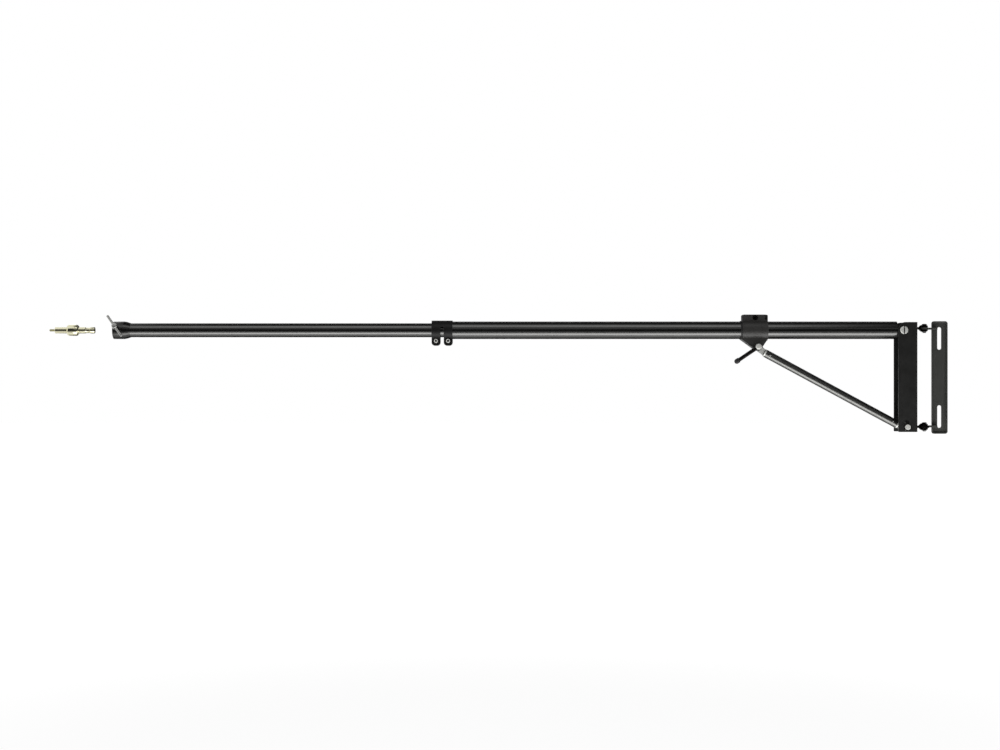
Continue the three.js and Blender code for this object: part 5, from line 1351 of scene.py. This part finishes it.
class ARM_OT_socket(bpy.types.Operator):
    """Make the socket casting, its set screw, lock screw and sliding bar"""
    bl_idname = "boom_arm.socket"
    bl_label = "Socket"

    def execute(self, context):
        sizes = context.scene.arm_socket
        radius, mouth = sizes.outer / 2, -sizes.length
        tube = extent("inner_tube").z
        lip, plug = tube / 2 + 0.7 * MM, tube / 2 - 2.3 * MM
        at_shoulder = Matrix.Translation((SOCKET_SHOULDER, BOOM_AXIS.y, BOOM_AXIS.z))
        casting = turned("cast_socket", "x", [
            (mouth, 0), (mouth, radius, 1.6 * MM), (-sizes.taper, radius, 9 * MM),
            (-sizes.taper / 2, (radius + lip) / 2 + 0.5 * MM, 4 * MM), (0, lip, 0.4 * MM), (0, plug),
            (30 * MM, plug, MM), (30 * MM, 0)], steps="large")
        turn = Matrix.Translation((mouth + sizes.lock_setback, 0, 0)) @ Matrix.Rotation(
            QUARTER_TURN - sizes.lock_rise, 4, "X")
        boss = turned("boss", "z", [
            (0, 0), (0, sizes.boss / 2), (radius + sizes.boss_height, sizes.boss / 2, 1.2 * MM),
            (radius + sizes.boss_height, 0)], steps="medium")
        join(casting, moved(boss, turn))
        hole = bar("hole", "z", sizes.lock + FIT, 0, radius + 2 * sizes.boss_height)
        bore = turned("bore", "x", [
            (mouth - OVERRUN, 0), (mouth - OVERRUN, sizes.bore / 2 + 2.2 * MM),
            (mouth + 1.2 * MM, sizes.bore / 2), (mouth + sizes.bore_depth, sizes.bore / 2),
            (mouth + sizes.bore_depth, 0)], steps="medium")
        set_screw = middle("socket_set_screw").x - SOCKET_SHOULDER
        tube_sizes = context.scene.arm_tube
        head_hole = bar("head_hole", "z", tube_sizes.screw_head + FIT, -radius, 2.15 * MM - tube / 2,
                        (set_screw, 0, 0))
        thread_hole = bar("thread_hole", "z", tube_sizes.screw + FIT, -radius, 10.6 * MM - tube / 2,
                          (set_screw, 0, 0), "cross_hole")
        cut(casting, bore, moved(hole, turn), head_hole, thread_hole)
        moved(casting, at_shoulder)
        hand_over(casting, "inner", "socket_casting", "socket", 0.7 * MM, 3)

        low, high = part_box("socket_set_screw")
        screw = flush_screw("socket_grub_screw", tube_sizes, low.z, BOOM_AXIS.z - tube / 2 + 2 * MM, high.z,
                            (SOCKET_SHOULDER + set_screw, BOOM_AXIS.y, 0))
        hand_over(screw, "inner", "socket_set_screw", "blackened", 0.15 * MM)

        floor = radius + sizes.boss_height + GAP
        hub = sizes.hub / 2
        lock = turned("socket_lock_hub", "z", [
            (sizes.bore / 2 + GAP, 0), (sizes.bore / 2 + GAP, sizes.lock / 2, 0.8 * MM),
            (floor, sizes.lock / 2), (floor, hub, 0.5 * MM), (floor + sizes.hub_height, hub, 2.6 * MM),
            (floor + sizes.hub_height, 0)], steps="medium")
        bar_turn = Matrix.Translation((0, 0, floor + 6.6 * MM)) @ Matrix.Rotation(-sizes.bar_turn, 4, "Z")
        # A hair under its size, because its solid is drawn with flats
        half, handle_radius = sizes.bar_length / 2, sizes.bar / 2 - 0.05 * MM
        hole = bar("hole", "x", sizes.bar + FIT, -half, half)
        cut(lock, moved(hole, bar_turn))
        handle = turned("socket_sliding_bar", "x", [
            (-half, 0), (-half, handle_radius, 0.9 * MM), (half, handle_radius, 0.9 * MM), (half, 0)])
        moved(handle, at_shoulder @ turn @ bar_turn)
        moved(lock, at_shoulder @ turn)
        hand_over(lock, "socket_lock", "socket_lock_screw", "chrome", 0.25 * MM)
        hand_over(handle, "socket_lock", "socket_lock_bar", "chrome", 0.0)
        return {"FINISHED"}


class ARM_OT_spigot(bpy.types.Operator):
    """Make the loose spigot and its threaded stud"""
    bl_idname = "boom_arm.spigot"
    bl_label = "Spigot"

    def execute(self, context):
        sizes = context.scene.arm_spigot
        radius, collar = sizes.body / 2, sizes.collar_outer / 2
        collar_start = -sizes.inner
        collar_end = collar_start - sizes.collar
        end = collar_end - sizes.outer
        groove_end, depth = -sizes.groove_start - sizes.groove, sizes.groove_depth
        place = Matrix.Translation((SPIGOT_END, BOOM_AXIS.y, BOOM_AXIS.z))
        seat = end + 8 * MM
        body = turned("turned_spigot", "x", [
            (end, 0), (end, radius, 1.1 * MM), (collar_end, radius),
            (collar_end, collar, sizes.collar_round), (collar_start, collar, sizes.collar_round),
            (collar_start, radius), (groove_end, radius), (groove_end + depth, radius - depth, MM),
            (-sizes.groove_start - depth, radius - depth, MM), (-sizes.groove_start, radius),
            (0, radius, 1.1 * MM), (0, 0)], steps="large")
        cut(body, bar("stud_hole", "x", sizes.stud + FIT, end - OVERRUN, seat + GAP))
        moved(body, place)
        hand_over(body, "spigot", "spigot_body", "brass", 0.25 * MM)
        stud = sizes.stud / 2
        root = stud - 0.6 * sizes.pitch
        stud_end = end - sizes.stud_length
        stud_piece = threaded("threaded_stud", "x", [
            (stud_end, 0), (stud_end, root, 0.4 * MM), (end - 0.6 * MM, root), (end, stud), (seat, stud),
            (seat, 0)], sizes.stud, sizes.pitch, stud_end + 0.5 * MM, end - 0.2 * MM)
        moved(stud_piece, place)
        hand_over(stud_piece, "spigot", "spigot_stud", "brass", 0.0)
        return {"FINISHED"}


class ARM_OT_stage(bpy.types.Operator):
    """Make the floor, the room, the lamps and the camera"""
    bl_idname = "boom_arm.stage"
    bl_label = "Stage"

    def execute(self, context):
        sizes = context.scene.arm_stage
        low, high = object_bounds()
        self.middle_x = (low[0] + high[0]) / 2
        self.make_floor(sizes)
        self.make_room(context, sizes)
        self.make_lamps(sizes)
        self.make_camera(context, sizes)
        return {"FINISHED"}

    def plane(self, name, width, depth, place, turn=0.0, axis="X"):
        """A plane, which faces +Z before it is turned."""
        bm = bmesh.new()
        bmesh.ops.create_grid(bm, x_segments=1, y_segments=1, size=0.5)
        bmesh.ops.scale(bm, vec=(width, depth, 1), verts=bm.verts[:])
        bmesh.ops.transform(
            bm, verts=bm.verts[:], matrix=Matrix.Translation(place) @ Matrix.Rotation(turn, 4, axis))
        mesh = bpy.data.meshes.new(name)
        bm.to_mesh(mesh)
        bm.free()
        sheet = bpy.data.objects.new(name, mesh)
        bpy.context.scene.collection.objects.link(sheet)
        sheet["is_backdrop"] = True
        return sheet

    def seen_directly(self, tree):
        """1 for camera, mirror and glass rays, 0 for rays that light matt surfaces."""
        path = add_node(tree, "ShaderNodeLightPath").outputs
        shiny = add_node(tree, "ShaderNodeMath", {
            0: path["Is Glossy Ray"], 1: path["Is Transmission Ray"]}, operation="MAXIMUM")
        return add_node(tree, "ShaderNodeMath", {
            0: path["Is Camera Ray"], 1: shiny.outputs["Value"]}, operation="MAXIMUM").outputs["Value"]

    def make_floor(self, sizes):
        floor = self.plane("studio_floor", 60, 60, (self.middle_x, 0, -sizes.floor_drop))
        material = bpy.data.materials.new("pale_studio_floor")
        tree = empty_tree(material)
        matt = add_node(tree, "ShaderNodeBsdfDiffuse", {"Color": rgba(sizes.floor)})
        # Seen directly, the floor is white like the room, less the shadow that the arm casts
        coords = add_node(tree, "ShaderNodeTexCoord").outputs["Object"]
        from_middle = add_node(tree, "ShaderNodeVectorMath", {
            0: coords, 1: (self.middle_x, 0, -sizes.floor_drop)}, operation="DISTANCE")
        glow = add_node(tree, "ShaderNodeMapRange", {
            "Value": from_middle.outputs["Value"], "From Min": 0.8, "From Max": 3.0, "To Min": 0.9},
            interpolation_type="SMOOTHSTEP")
        light = add_node(tree, "ShaderNodeEmission", {
            "Color": (1, 1, 1, 1), "Strength": glow.outputs["Result"]})
        shadow = add_node(tree, "ShaderNodeBsdfDiffuse", {"Color": (0.14, 0.14, 0.14, 1)})
        lit = add_node(tree, "ShaderNodeAddShader", {0: light.outputs["Emission"], 1: shadow.outputs["BSDF"]})
        top = add_node(tree, "ShaderNodeMixShader", {
            0: self.seen_directly(tree), 1: matt.outputs["BSDF"], 2: lit.outputs["Shader"]})
        # From below the floor lets the room show through
        under = add_node(tree, "ShaderNodeBsdfTransparent")
        side = add_node(tree, "ShaderNodeNewGeometry").outputs["Backfacing"]
        surface = add_node(tree, "ShaderNodeMixShader", {
            0: side, 1: top.outputs["Shader"], 2: under.outputs["BSDF"]})
        add_node(tree, "ShaderNodeOutputMaterial", {"Surface": surface.outputs["Shader"]})
        floor.data.materials.append(material)

    def make_room(self, context, sizes):
        world = bpy.data.worlds.new("white_room")
        tree = empty_tree(world)
        strength = add_node(tree, "ShaderNodeMapRange", {
            "Value": self.seen_directly(tree), "To Min": sizes.fill})
        room = add_node(tree, "ShaderNodeBackground", {
            "Color": (1, 1, 1, 1), "Strength": strength.outputs["Result"]})
        add_node(tree, "ShaderNodeOutputWorld", {"Surface": room.outputs["Background"]})
        context.scene.world = world
        # Boards that only mirror-like surfaces see, as the dim studio round the camera; places in metres
        above_floor = 5 * MM - sizes.floor_drop
        for name, width, depth, place, turn, axis, grey in (
                ("front_board", 16, 2.95, (self.middle_x, -6.4, 0.525), QUARTER_TURN, "X", 0.015),
                ("upper_front_board", 16, 3.5, (self.middle_x, -6.4, 3.75), QUARTER_TURN, "X", 0.3),
                ("left_upper_front_board", 5.4, 2.2, (-6.15, -6.35, 3.1), QUARTER_TURN, "X", 0.02),
                ("far_floor_board", 16, 3.5, (self.middle_x, -4.65, above_floor), 0.0, "X", 0.05),
                ("near_floor_board", 16, 1.8, (self.middle_x, -2.0, above_floor), 0.0, "X", 0.4),
                ("left_ceiling_board", 2.9, 3.9, (-1.15, -2.25, 2.3), 0.0, "X", 0.35),
                ("rear_ceiling_board", 2.9, 2.1, (-1.15, 0.75, 2.3), 0.0, "X", 0.05),
                ("rear_board", 9.3, 2.3, (2.05, 2.2, 1.15), QUARTER_TURN, "X", 0.05),
                ("rear_floor_board", 9.3, 2.2, (2.05, 1.4, above_floor), 0.0, "X", 0.05),
                ("right_ceiling_board", 6.0, 6.0, (3.3, -1.2, 2.3), 0.0, "X", 0.03),
                ("right_board", 6.5, 8.4, (6.3, -2.2, 2.3), QUARTER_TURN, "Y", 0.02)):
            board = self.plane(name, width, depth, place, turn, axis)
            material = bpy.data.materials.new(name + "_grey")
            tree = empty_tree(material)
            glow = add_node(tree, "ShaderNodeEmission", {"Color": (grey, grey, grey, 1), "Strength": 1.0})
            add_node(tree, "ShaderNodeOutputMaterial", {"Surface": glow.outputs["Emission"]})
            board.data.materials.append(material)
            board.visible_camera = False
            board.visible_diffuse = False
            board.visible_shadow = False
            board.visible_transmission = False

    def make_lamps(self, sizes):
        """Long softboxes; the brightness is what a white card filled by the lamp alone would show."""
        target = Vector((self.middle_x, BOOM_AXIS.y, BOOM_AXIS.z))
        for name, brightness, width, depth, place in (
                ("upper_softbox", sizes.upper_lamp, 2.5, 0.8, (-1.2, -1.3, 2.0)),
                ("lower_softbox", sizes.lower_lamp, 3.47, 0.8, (-0.645, -0.62, -0.86)),
                ("rear_softbox", sizes.rear_lamp, 4.0, 1.2, (self.middle_x, 3.2, 1.0))):
            lamp = bpy.data.lights.new(name, "AREA")
            lamp.shape = "RECTANGLE"
            lamp.size = width
            lamp.size_y = depth
            lamp.energy = brightness * math.pi * width * depth
            softbox = bpy.data.objects.new(name, lamp)
            softbox.location = place
            aim = Vector((place[0], target.y, target.z)) - Vector(place)
            softbox.rotation_euler = aim.to_track_quat("-Z", "Y").to_euler()
            softbox.visible_camera = False
            bpy.context.scene.collection.objects.link(softbox)

    def make_camera(self, context, sizes):
        lens = bpy.data.cameras.new("studio_camera")
        lens.lens = sizes.lens
        lens.sensor_width = 36.0
        lens.clip_end = 100.0
        camera = bpy.data.objects.new("studio_camera", lens)
        camera.location = (sizes.camera_place, BOOM_AXIS.y - sizes.camera_distance, sizes.camera_height)
        camera.rotation_euler = (QUARTER_TURN, 0, 0)
        context.scene.collection.objects.link(camera)
        context.scene.camera = camera
        context.scene.view_settings.view_transform = "Standard"


OPERATORS = (
    ARM_OT_stage, ARM_OT_wall_plate, ARM_OT_upright, ARM_OT_outer_tube, ARM_OT_telescopic_clamp,
    ARM_OT_collar, ARM_OT_collar_lever, ARM_OT_strut, ARM_OT_foot_pivot, ARM_OT_inner_tube, ARM_OT_socket,
    ARM_OT_spigot)

GROUPS = {
    "arm_finish": ArmFinish, "arm_steps": ArmSteps, "arm_plate": PlateSizes, "arm_hinge": HingeSizes,
    "arm_channel": ChannelSizes, "arm_pivot": PivotSizes, "arm_tube": TubeSizes, "arm_clamp": ClampSizes,
    "arm_collar": CollarSizes, "arm_lever": LeverSizes, "arm_strut": StrutSizes, "arm_socket": SocketSizes,
    "arm_spigot": SpigotSizes, "arm_stage": StageSizes}


class ARM_PT_panel(bpy.types.Panel):
    """Lists the groups of pieces in the sidebar"""
    bl_idname = "ARM_PT_panel"
    bl_label = "Boom arm"
    bl_space_type = "VIEW_3D"
    bl_region_type = "UI"
    bl_category = "Boom arm"

    def draw(self, context):
        for operator in OPERATORS:
            self.layout.operator(operator.bl_idname)


def register():
    for group in GROUPS.values():
        bpy.utils.register_class(group)
    for name, group in GROUPS.items():
        setattr(bpy.types.Scene, name, bpy.props.PointerProperty(type=group))
    for operator in OPERATORS:
        bpy.utils.register_class(operator)
    bpy.utils.register_class(ARM_PT_panel)


def unregister():
    bpy.utils.unregister_class(ARM_PT_panel)
    for operator in reversed(OPERATORS):
        bpy.utils.unregister_class(operator)
    for name in GROUPS:
        delattr(bpy.types.Scene, name)
    for group in reversed(GROUPS.values()):
        bpy.utils.unregister_class(group)


def main():
    register()
    for operator in OPERATORS:
        family, name = operator.bl_idname.split(".")
        getattr(getattr(bpy.ops, family), name)()


if __name__ == "__main__":
    main()
